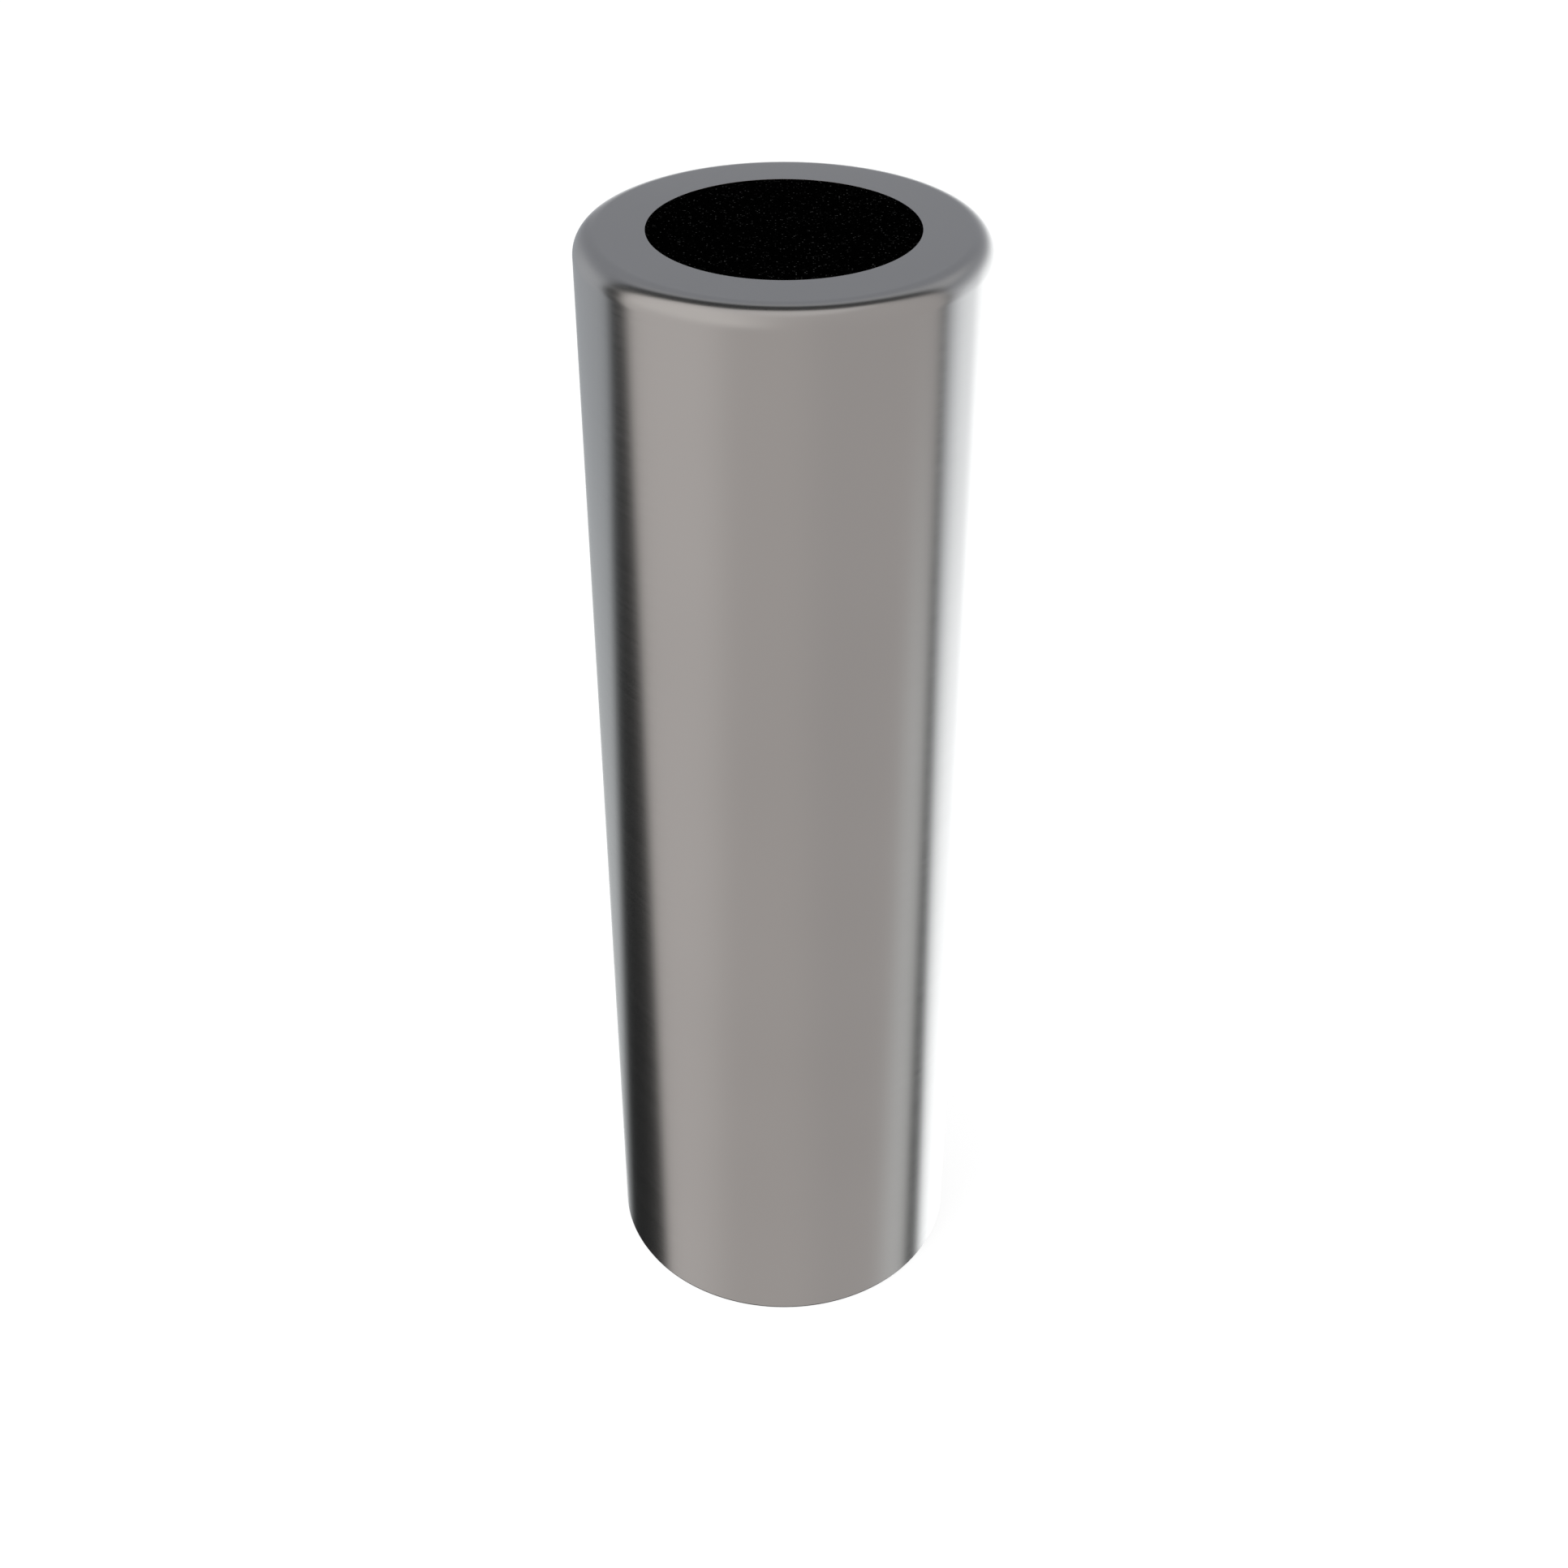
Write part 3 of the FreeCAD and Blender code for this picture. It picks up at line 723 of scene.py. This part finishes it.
def ring_weld(name, node, corner_height, face_height):
    """A fillet round the post, from a plate at corner_height to face_height on the wall."""
    _, toe, _, _ = round_size(node)
    leg = toe - post_radius
    rise = face_height - corner_height
    bulge = 0.62
    ripples = round(2 * math.pi * (post_radius + leg / 2) / RIPPLE)
    bead = turned(name, [
        (post_radius, corner_height),
        (toe - 0.3 * MM, corner_height),
        (post_radius + leg * bulge, corner_height + rise * (bulge - 0.17)),
        (post_radius + leg * (bulge - 0.17), corner_height + rise * bulge),
        (post_radius, face_height - math.copysign(0.3 * MM, rise)),
    ], ripples * 3)
    slice_angle = 2 * math.pi / (ripples * 3)

    def crest(vertex):
        number = round(math.atan2(vertex.co.y, vertex.co.x) / slice_angle)
        on_face = math.hypot(vertex.co.x, vertex.co.y) > post_radius + 0.3 * leg
        return number % 3 == 0 and on_face and abs(vertex.co.z - corner_height) > 0.2 * leg

    pick(bead, crest)
    bpy.ops.transform.shrink_fatten(value=0.3 * MM)
    bpy.ops.object.mode_set(mode="OBJECT")
    print(name, "ripples:", ripples)
    return bead


_, _, foot, top = round_size("foot_weld")
foot_bead = ring_weld("foot_bead", "foot_weld", foot, top)
hand_over(foot_bead, "weld_metal", "core", "foot_weld", smooth=50)
_, _, foot, top = round_size("top_weld")
head_bead = ring_weld("head_bead", "top_weld", top, foot)
hand_over(head_bead, "weld_metal", "core", "top_weld", smooth=50)


# %% [markdown]
# The beads beside the ribs are short and straight. Each is turned as a thin rippled rod and laid in
# its corner, half sunk in the plates. A rib has two lying and two upright, which become one piece.

# %% Straight welds beside the ribs
def rippled_rod(length, bead_radius):
    ripples = round(length / RIPPLE)
    corners = [(0, 0)]
    for number in range(ripples):
        start = number * length / ripples
        corners += [(bead_radius * 0.84, start), (bead_radius, start + RIPPLE * 0.6)]
    corners += [(bead_radius * 0.8, length), (0, length)]
    return turned("rod", corners, 16)


def lay_rod(length, bead_radius, place, lying):
    """Puts a rod in a corner: upright, or lying along the rib."""
    rod = rippled_rod(length, bead_radius)
    if lying:
        rod.rotation_euler = (0, math.pi / 2, 0)
    rod.location = place
    select_only(rod)
    bpy.ops.object.transform_apply(location=True, rotation=True, scale=False)
    return rod


def join_pieces(pieces):
    """Joins pieces into the first one."""
    select_only(pieces[0])
    for piece in pieces[1:]:
        piece.select_set(True)
    bpy.ops.object.join()
    return bpy.context.object


BEAD_RADIUS = 2.6 * MM
SIDE = RIB_THICKNESS / 2
WELD_START = post_radius + RIB_COPE + 2 * MM
LYING_LENGTH = RIB_REACH - WELD_START - 2 * MM
UPRIGHT_LENGTH = rib_top - rib_foot - RIB_COPE - 6 * MM
UPRIGHT_RADIUS, UPRIGHT_FOOT = post_radius - 0.1 * MM, rib_foot + RIB_COPE + 3 * MM
rods = []
for face in (-SIDE, SIDE):
    rods.append(lay_rod(LYING_LENGTH, BEAD_RADIUS, (WELD_START, face, rib_foot), True))
    rods.append(lay_rod(UPRIGHT_LENGTH, BEAD_RADIUS, (UPRIGHT_RADIUS, face, UPRIGHT_FOOT), False))
rib_bead = join_pieces(rods)
rib_bead.name = rib_bead.data.name = "rib_bead_1"
for piece in all_round(rib_bead, "rib_bead"):
    hand_over(piece, "weld_metal", "core", smooth=50)

# %% [markdown]
# ## The fixing
#
# One M16 bolt holds the sleeve. A hexagon head is a six-sided bar that was turned with a slanted
# tool, so its corners are cut by a cone. That is made here the same way: a six-sided cylinder is
# intersected with a turned blank that has slanted edges. The curved arcs on the flats come by
# themselves, which a bevel on the hexagon wouldn't give.

# %% Hexagons with turned corners
ACROSS_FLATS = 24 * MM
CORNER_RADIUS = ACROSS_FLATS / math.sqrt(3)


def hexagon(name, foot, top, chamfer_foot):
    select_nothing()
    bpy.ops.mesh.primitive_cylinder_add(
        vertices=6, radius=CORNER_RADIUS, depth=top - foot, location=(0, 0, (foot + top) / 2)
    )
    bar = bpy.context.object
    bar.name = bar.data.name = name
    bpy.ops.object.transform_apply(location=True, rotation=False, scale=False)
    face_radius = ACROSS_FLATS * 0.475
    blank_radius = CORNER_RADIUS * 1.02
    drop = (blank_radius - face_radius) * math.tan(math.radians(30))
    blank_foot = [(blank_radius, foot)]
    if chamfer_foot:
        blank_foot = [(face_radius, foot), (blank_radius, foot + drop)]
    blank = turned("blank", [
        (0, foot), *blank_foot, (blank_radius, top - drop), (face_radius, top), (0, top),
    ], 96)
    use_modifier(bar, "BOOLEAN", operation="INTERSECT", solver="EXACT", object=blank)
    bpy.data.objects.remove(blank)
    return bar


# %% [markdown]
# A thread is one tooth of section, carried round and up at the same time. The Screw modifier does
# that: one turn climbs by the pitch. The ridge is closed at both ends and wrapped on the thinner
# end of the shank.

# %% Fixing bolt
def close_ends(piece, sides):
    """Fills the two open ends that the Screw modifier leaves."""
    pick(piece, everything)
    bpy.ops.mesh.fill_holes(sides=sides)
    bpy.ops.mesh.select_all(action="SELECT")
    bpy.ops.mesh.normals_make_consistent(inside=False)
    bpy.ops.object.mode_set(mode="OBJECT")


_, _, bolt_foot, bolt_top = round_size("fixing_bolt")
_, spring_radius, spring_foot, spring_top = round_size("spring_washer")
HEAD_FOOT = spring_top
SHANK_RADIUS = 8 * MM
PITCH = 2 * MM
THREAD_DEPTH = 1.23 * MM
THREAD_TURNS = 19
ROOT_RADIUS = SHANK_RADIUS - THREAD_DEPTH
thread_foot = bolt_foot + 0.9 * MM
thread_top = bolt_foot + (THREAD_TURNS + 1.5) * PITCH
shank = turned("shank", [
    (0, bolt_foot),
    (ROOT_RADIUS - 0.8 * MM, bolt_foot),
    (ROOT_RADIUS, bolt_foot + 1.2 * MM),
    (ROOT_RADIUS, thread_top),
    (SHANK_RADIUS, thread_top + THREAD_DEPTH),
    (SHANK_RADIUS, HEAD_FOOT + MM),
    (0, HEAD_FOOT + MM),
], 64)
ridge = draw_outline("ridge", [
    (ROOT_RADIUS - 0.2 * MM, thread_foot + PITCH * 0.02),
    (SHANK_RADIUS, thread_foot + PITCH * 0.44),
    (SHANK_RADIUS, thread_foot + PITCH * 0.56),
    (ROOT_RADIUS - 0.2 * MM, thread_foot + PITCH * 0.98),
])
use_modifier(
    ridge, "SCREW", screw_offset=PITCH, iterations=THREAD_TURNS, steps=48, render_steps=48
)
close_ends(ridge, 4)
head = hexagon("captive_bolt", HEAD_FOOT, bolt_top, chamfer_foot=False)
hand_over(join_pieces([head, shank, ridge]), "stainless_fastener", "sleeve", "fixing_bolt")

# %% [markdown]
# The nut is welded under the head plate. It is a short hexagon with both ends turned, drilled to
# the thread's outside. The washers are stamped, with soft edges. The spring washer is a split ring
# of square wire, so its outline goes nearly once round and rises a little on the way.

# %% Nut and washers
nut_bore, _, nut_foot, nut_top = round_size("weld_nut")
captive_nut = hexagon("captive_nut", nut_foot, nut_top, chamfer_foot=True)
AXIS = Vector((0, 0, 0))
drill(captive_nut, AXIS, nut_bore, nut_foot, nut_top)
break_rims(captive_nut, [AXIS], nut_bore, 0.9 * MM, 1)
hand_over(captive_nut, "galvanised_steel", "core", "weld_nut")

bore, radius, foot, top = round_size("plate_washer")
flat_washer = turned("flat_washer", [
    (bore, foot, 0.4 * MM), (radius, foot, 0.3 * MM), (radius, top, 0.9 * MM), (bore, top, 0.3 * MM),
])
hand_over(flat_washer, "stainless_fastener", "sleeve", "plate_washer")

bore, _, _, _ = round_size("spring_washer")
SPRING_RISE = 0.3 * MM
SPLIT_ANGLE = 2 * MM / ((bore + spring_radius) / 2)
split_ring = draw_outline("split_ring", [
    (bore + 0.05 * MM, spring_foot, 0.3 * MM),
    (spring_radius, spring_foot, 0.3 * MM),
    (spring_radius, spring_top - SPRING_RISE, 0.3 * MM),
    (bore + 0.05 * MM, spring_top - SPRING_RISE, 0.3 * MM),
])
wire_sides = len(split_ring.data.vertices)
turn_in_place(split_ring, SPLIT_ANGLE / 2)
use_modifier(
    split_ring, "SCREW", angle=2 * math.pi - SPLIT_ANGLE, screw_offset=SPRING_RISE, steps=96,
    render_steps=96,
)
close_ends(split_ring, wire_sides)
hand_over(split_ring, "stainless_fastener", "sleeve", "spring_washer")

# %% [markdown]
# ## The insert
#
# The insert closes the dish. Its carrier is an aluminium disc with a groove for a rubber ring, and
# the ring's grip on the dish wall holds it in place. A round section in the groove is a circle,
# spun once round.

# %% Carrier and ring
ring_bore, ring_radius, ring_foot, ring_top = round_size("insert_ring")
_, radius, foot, top = round_size("insert_plate")
GROOVE_RADIUS = 68.6 * MM
GROOVE_PLAY = 0.2 * MM
carrier = turned("insert_carrier", [
    (0, foot),
    (radius, foot, 0.5 * MM),
    (radius, ring_foot - GROOVE_PLAY, 0.1 * MM),
    (GROOVE_RADIUS, ring_foot - GROOVE_PLAY),
    (GROOVE_RADIUS, ring_top + GROOVE_PLAY),
    (radius, ring_top + GROOVE_PLAY, 0.1 * MM),
    (radius, top),
    (0, top),
], FINE_STEPS)
hand_over(carrier, "insert_aluminium", "insert", "insert_plate")

select_nothing()
bpy.ops.mesh.primitive_circle_add(
    vertices=20, radius=(ring_top - ring_foot) / 2, rotation=(math.pi / 2, 0, 0),
    location=((ring_bore + ring_radius) / 2, 0, (ring_foot + ring_top) / 2),
)
grip_ring = bpy.context.object
grip_ring.name = grip_ring.data.name = "grip_ring"
bpy.ops.object.transform_apply(location=True, rotation=True, scale=False)
pick(grip_ring, everything)
bpy.ops.mesh.spin(steps=160, angle=2 * math.pi, center=(0, 0, 0), axis=(0, 0, 1))
tidy_shell(grip_ring)
hand_over(grip_ring, "rubber", "insert", "insert_ring", smooth=60)

# %% [markdown]
# The facing is the one surface with real relief. A fine grid is trimmed round and its ragged rim is
# drawn onto a circle with the To Sphere tool. The rim is pulled out to full size and down for the
# disc's side. Then a Displace modifier with a cell pattern presses the valleys between the grains
# down, and never pushes a grain above the cap's face.

# %% Grit facing
_, radius, foot, top = round_size("insert_facing")
GRID_CELLS = 287
cell = 2 * radius / GRID_CELLS
select_nothing()
bpy.ops.mesh.primitive_grid_add(
    x_subdivisions=GRID_CELLS, y_subdivisions=GRID_CELLS, size=2 * radius, location=(0, 0, top)
)
grit_disc = bpy.context.object
grit_disc.name = grit_disc.data.name = "grit_disc"
bpy.ops.object.transform_apply(location=True, rotation=False, scale=False)
pick(grit_disc, lambda vertex: math.hypot(vertex.co.x, vertex.co.y) > radius - 1.2 * cell)
bpy.ops.mesh.delete(type="VERT")
bpy.ops.mesh.select_mode(type="EDGE")
bpy.ops.mesh.select_non_manifold()
bpy.ops.transform.tosphere(value=1.0)
bpy.ops.object.mode_set(mode="OBJECT")
rim = [math.hypot(v.co.x, v.co.y) for v in grit_disc.data.vertices if v.select]
grow = radius / max(rim)
bpy.ops.object.mode_set(mode="EDIT")
bpy.ops.mesh.extrude_region_move(TRANSFORM_OT_translate={"value": (0, 0, 0)})
bpy.ops.transform.resize(value=(grow, grow, 1), center_override=(0, 0, top))
bpy.ops.mesh.extrude_region_move(TRANSFORM_OT_translate={"value": (0, 0, foot - top)})
bpy.ops.mesh.edge_face_add()
tidy_shell(grit_disc)
GRAIN_DEPTH = 0.3 * MM
grains = bpy.data.textures.new("grains", "VORONOI")
grains.noise_scale = 1.1 * MM
GRITTY_RADIUS = min(rim) - 0.1 * MM
name_vertices(
    grit_disc, "gritty",
    lambda spot: spot.z > top - 0.1 * MM and math.hypot(spot.x, spot.y) < GRITTY_RADIUS,
)
use_modifier(
    grit_disc, "DISPLACE", texture=grains, vertex_group="gritty", direction="Z", mid_level=0.0,
    strength=-GRAIN_DEPTH,
)
heights = [v.co.z for v in grit_disc.data.vertices if v.groups]
print(f"grit relief {(max(heights) - min(heights)) / MM:.2f} mm, highest {max(heights) / MM:.2f} mm")
hand_over(grit_disc, "grit_facing", "insert", "insert_facing", smooth=60)

# %% [markdown]
# ## The studio
#
# Polished metal shows the room, not itself. So the room is the most important finish of all. It is
# painted into the world as a few soft areas, each placed by direction: side is left to right, back
# is away from the camera, and high is up. In front stands a warm grey wall, and behind a cool grey
# one. Between them is a dark gap on both sides, which gives the sleeve its dark lines. A bright
# panel behind makes its pale flanks. Only reflections see this room. Everything else sees plain
# white, so the floor and the air stay clean.

# %% Helpers for the world's nodes
world = bpy.data.worlds.new("studio")
world.use_nodes = True
bpy.context.scene.world = world
tree = world.node_tree


def connect(value, socket):
    if isinstance(value, (int, float)):
        socket.default_value = value
    elif isinstance(value, tuple):
        socket.default_value = (*value, 1)
    else:
        tree.links.new(value, socket)


def world_maths(operation, *values):
    made = tree.nodes.new("ShaderNodeMath")
    made.operation = operation
    for value, socket in zip(values, made.inputs):
        connect(value, socket)
    return made.outputs[0]


def soft_step(value, start, end, shape="SMOOTHSTEP"):
    """0 before start, 1 after end, and smooth between them."""
    made = tree.nodes.new("ShaderNodeMapRange")
    made.interpolation_type = shape
    for key, source in (("Value", value), ("From Min", start), ("From Max", end)):
        connect(source, made.inputs[key])
    return made.outputs["Result"]


def even_step(value, start, end):
    """0 before start, 1 after end, and rising evenly between them."""
    return soft_step(value, start, end, "LINEAR")


def both(*shares):
    """Where all the shares are high at once."""
    result = shares[0]
    for share in shares[1:]:
        result = world_maths("MULTIPLY", result, share)
    return result


def blend_colours(share, first, second):
    made = tree.nodes.new("ShaderNodeMix")
    made.data_type = "RGBA"
    connect(share, made.inputs["Factor"])
    connect(first, made.inputs[6])
    connect(second, made.inputs[7])
    return made.outputs[2]


direction = tree.nodes.new("ShaderNodeSeparateXYZ")
tree.links.new(tree.nodes.new("ShaderNodeTexCoord").outputs["Generated"], direction.inputs[0])
side, back, high = direction.outputs

# %% [markdown]
# The wall in front is what most of the sleeve shows. It is warm, a little paler to the left, and
# paler still where the cap's rounding looks up past it.

# %% Warm wall in front
front_wall = blend_colours(soft_step(side, -0.68, -0.35), (0.65, 0.612, 0.59), (0.55, 0.515, 0.495))
front_wall = blend_colours(soft_step(side, 0.0, 0.45), front_wall, (0.505, 0.475, 0.46))
upper_left = both(soft_step(side, 0.1, -0.55), soft_step(high, -0.25, 0.35))
front_wall = blend_colours(upper_left, front_wall, (0.76, 0.72, 0.69))
pale_strip = both(
    soft_step(side, 0.0, 0.3), soft_step(back, -0.28, -0.05), soft_step(high, -0.38, -0.58)
)
front_wall = blend_colours(pale_strip, front_wall, (0.68, 0.68, 0.67))
ceiling = both(soft_step(high, 0.80, 0.95), soft_step(side, -0.7, -0.3))
front_wall = blend_colours(ceiling, front_wall, (0.68, 0.65, 0.63))

# %% [markdown]
# The wall behind is cool and darker, because the cap's flat ring shows it. Lower down and at its
# two ends it is paler. These shares of the view are used again by the panel and the gap.

# %% Cool wall behind
lower_left = both(soft_step(side, 0.0, -0.3), even_step(high, -0.39, -0.72))
lower_right = both(soft_step(side, 0.0, 0.4), even_step(high, -0.36, -0.70))
sideways = world_maths("ABSOLUTE", side)
overhead = soft_step(high, 0.2, 0.9)
low_colour = blend_colours(soft_step(high, -0.3, -0.62), (0.40, 0.42, 0.445), (0.58, 0.60, 0.61))
back_wall = blend_colours(soft_step(high, 0.15, -0.2), (0.295, 0.302, 0.325), low_colour)
ends = both(
    soft_step(sideways, 0.3, 0.8), soft_step(high, 0.6, 0.1), soft_step(high, -0.5, -0.2)
)
back_wall = blend_colours(ends, back_wall, (0.50, 0.51, 0.53))
behind_gap = both(soft_step(high, 0.62, 0.82), soft_step(back, 0.62, 0.45))
back_wall = blend_colours(behind_gap, back_wall, (0.42, 0.42, 0.43))
right_end = both(soft_step(side, 0.35, 0.65), soft_step(high, 0.40, 0.58))
back_wall = blend_colours(right_end, back_wall, (0.47, 0.47, 0.48))

# %% [markdown]
# The panel stands behind on the right. It is brighter than white, so the sleeve's right flank
# burns out to white, and it fades upwards, so the cap's flat ring doesn't catch it.

# %% Bright panel
panel_end = world_maths("MULTIPLY_ADD", lower_right, 0.08, 0.40)
panel = both(
    soft_step(side, -0.28, -0.08), even_step(high, 0.6, -0.5), soft_step(back, 0.08, panel_end),
    soft_step(high, 0.34, -0.1),
)
panel_colour = blend_colours(soft_step(high, -0.4, -0.7), (1.22, 1.24, 1.26), (1.68, 1.70, 1.71))
panel_colour = blend_colours(soft_step(back, 0.52, 0.64), panel_colour, (1.85, 1.87, 1.88))
back_wall = blend_colours(panel, back_wall, panel_colour)

# %% [markdown]
# The dark gap runs up one side, over the top and down the other, like a door frame. Its two edges
# are a base value plus shares that move them, so it is wider overhead and in the lower corners.

# %% Dark gap between the walls
GAP_BLACK = (0.022, 0.023, 0.023)
EDGE_BLUR = 0.05


def edge(base, *moves):
    """Where an edge of the gap lies, from front to back: a base, moved by shares of the view."""
    place = base
    for share, amount in moves:
        place = world_maths("MULTIPLY_ADD", share, amount, place)
    return place


def past(place, blur):
    """0 in front of an edge and 1 behind it."""
    return soft_step(back, world_maths("SUBTRACT", place, blur), world_maths("ADD", place, blur))


shoulder = both(soft_step(sideways, 0.2, 0.6), soft_step(high, 0.1, 0.6))
upper_left_edge = both(soft_step(side, -0.2, -0.5), soft_step(high, -0.50, -0.40))
gap_start = edge(0.055, (overhead, -0.115), (lower_right, 0.055), (shoulder, 0.10))
gap_end = edge(
    0.242, (side, -0.12), (lower_left, 0.345), (upper_left_edge, -0.045), (lower_right, 0.12),
    (overhead, 0.15),
)
room = blend_colours(past(gap_start, EDGE_BLUR), front_wall, GAP_BLACK)
room = blend_colours(past(gap_end, edge(EDGE_BLUR, (lower_left, 0.07))), room, back_wall)

# %% [markdown]
# A Light Path node tells reflections from everything else. Only glossy rays see the room.

# %% Room for reflections, white for the rest
rays = tree.nodes.new("ShaderNodeLightPath")
shown = blend_colours(rays.outputs["Is Glossy Ray"], (1.0, 1.0, 1.0), room)
tree.links.new(shown, tree.nodes["Background"].inputs["Color"])

# %% [markdown]
# The floor is a pale disc far larger than the view. It sits a hair under the base, so the two don't
# flicker. It is kept out of reflections, because the room already stands for it there.

# %% Floor
select_nothing()
bpy.ops.mesh.primitive_circle_add(
    vertices=64, radius=12, fill_type="NGON", location=(0, 0, -0.2 * MM)
)
floor = bpy.context.object
floor.name = "studio_floor"
FLOOR_GLOW = 0.84
pale = Finish("pale_floor", Roughness=1.0, Specular_IOR_Level=0.0, Emission_Strength=FLOOR_GLOW)
pale.shader.inputs["Emission Color"].default_value = (1, 1, 1, 1)
pale.colour(pale.noise(pale.place, 2.0), (0.3, (0.20, 0.20, 0.20)), (0.7, (0.21, 0.21, 0.21)))
floor.data.materials.append(Finish.made["pale_floor"])
floor.visible_glossy = False

# %% [markdown]
# One large soft light from the upper left gives the matt pieces a lit side and a shaded side. It is
# hidden from reflections too, so that no bright square shows in the sleeve.

# %% Soft light
LIGHT_SIZE = 1.6
LIGHT_WATTS = 26
LIGHT_PLACE = Vector((-1.3, -1.2, 2.0))
softbox = bpy.data.lights.new("softbox", "AREA")
softbox.shape = "SQUARE"
softbox.size = LIGHT_SIZE
softbox.energy = LIGHT_WATTS
lamp = bpy.data.objects.new("softbox", softbox)
bpy.context.scene.collection.objects.link(lamp)
lamp.location = LIGHT_PLACE
aim = Vector((0, 0, HEIGHT / 2)) - LIGHT_PLACE
lamp.rotation_euler = aim.to_track_quat("-Z", "Y").to_euler()
lamp.visible_glossy = False

# %% [markdown]
# The camera looks down at the bollard from about chest height, from twelve radii away. That near,
# the tube's foot looks clearly narrower than its top, so the distance matters as much as the lens.

# %% Camera
SENSOR_WIDTH = 36
FOCAL_LENGTH = 49.3
TILT = math.radians(35.13)
DISTANCE = 11.945 * SLEEVE_RADIUS
AIM = Vector((0, 0, 3.159 * SLEEVE_RADIUS))
lens = bpy.data.cameras.new("camera")
lens.sensor_width = SENSOR_WIDTH
lens.lens = FOCAL_LENGTH
lens.clip_end = 100
camera = bpy.data.objects.new("camera", lens)
bpy.context.scene.collection.objects.link(camera)
camera.location = AIM + DISTANCE * Vector((0, -math.cos(TILT), math.sin(TILT)))
camera.rotation_euler = (math.pi / 2 - TILT, 0, 0)
bpy.context.scene.camera = camera
bpy.context.scene.view_settings.view_transform = "Standard"
print(f"camera {camera.location.z:.2f} m up")
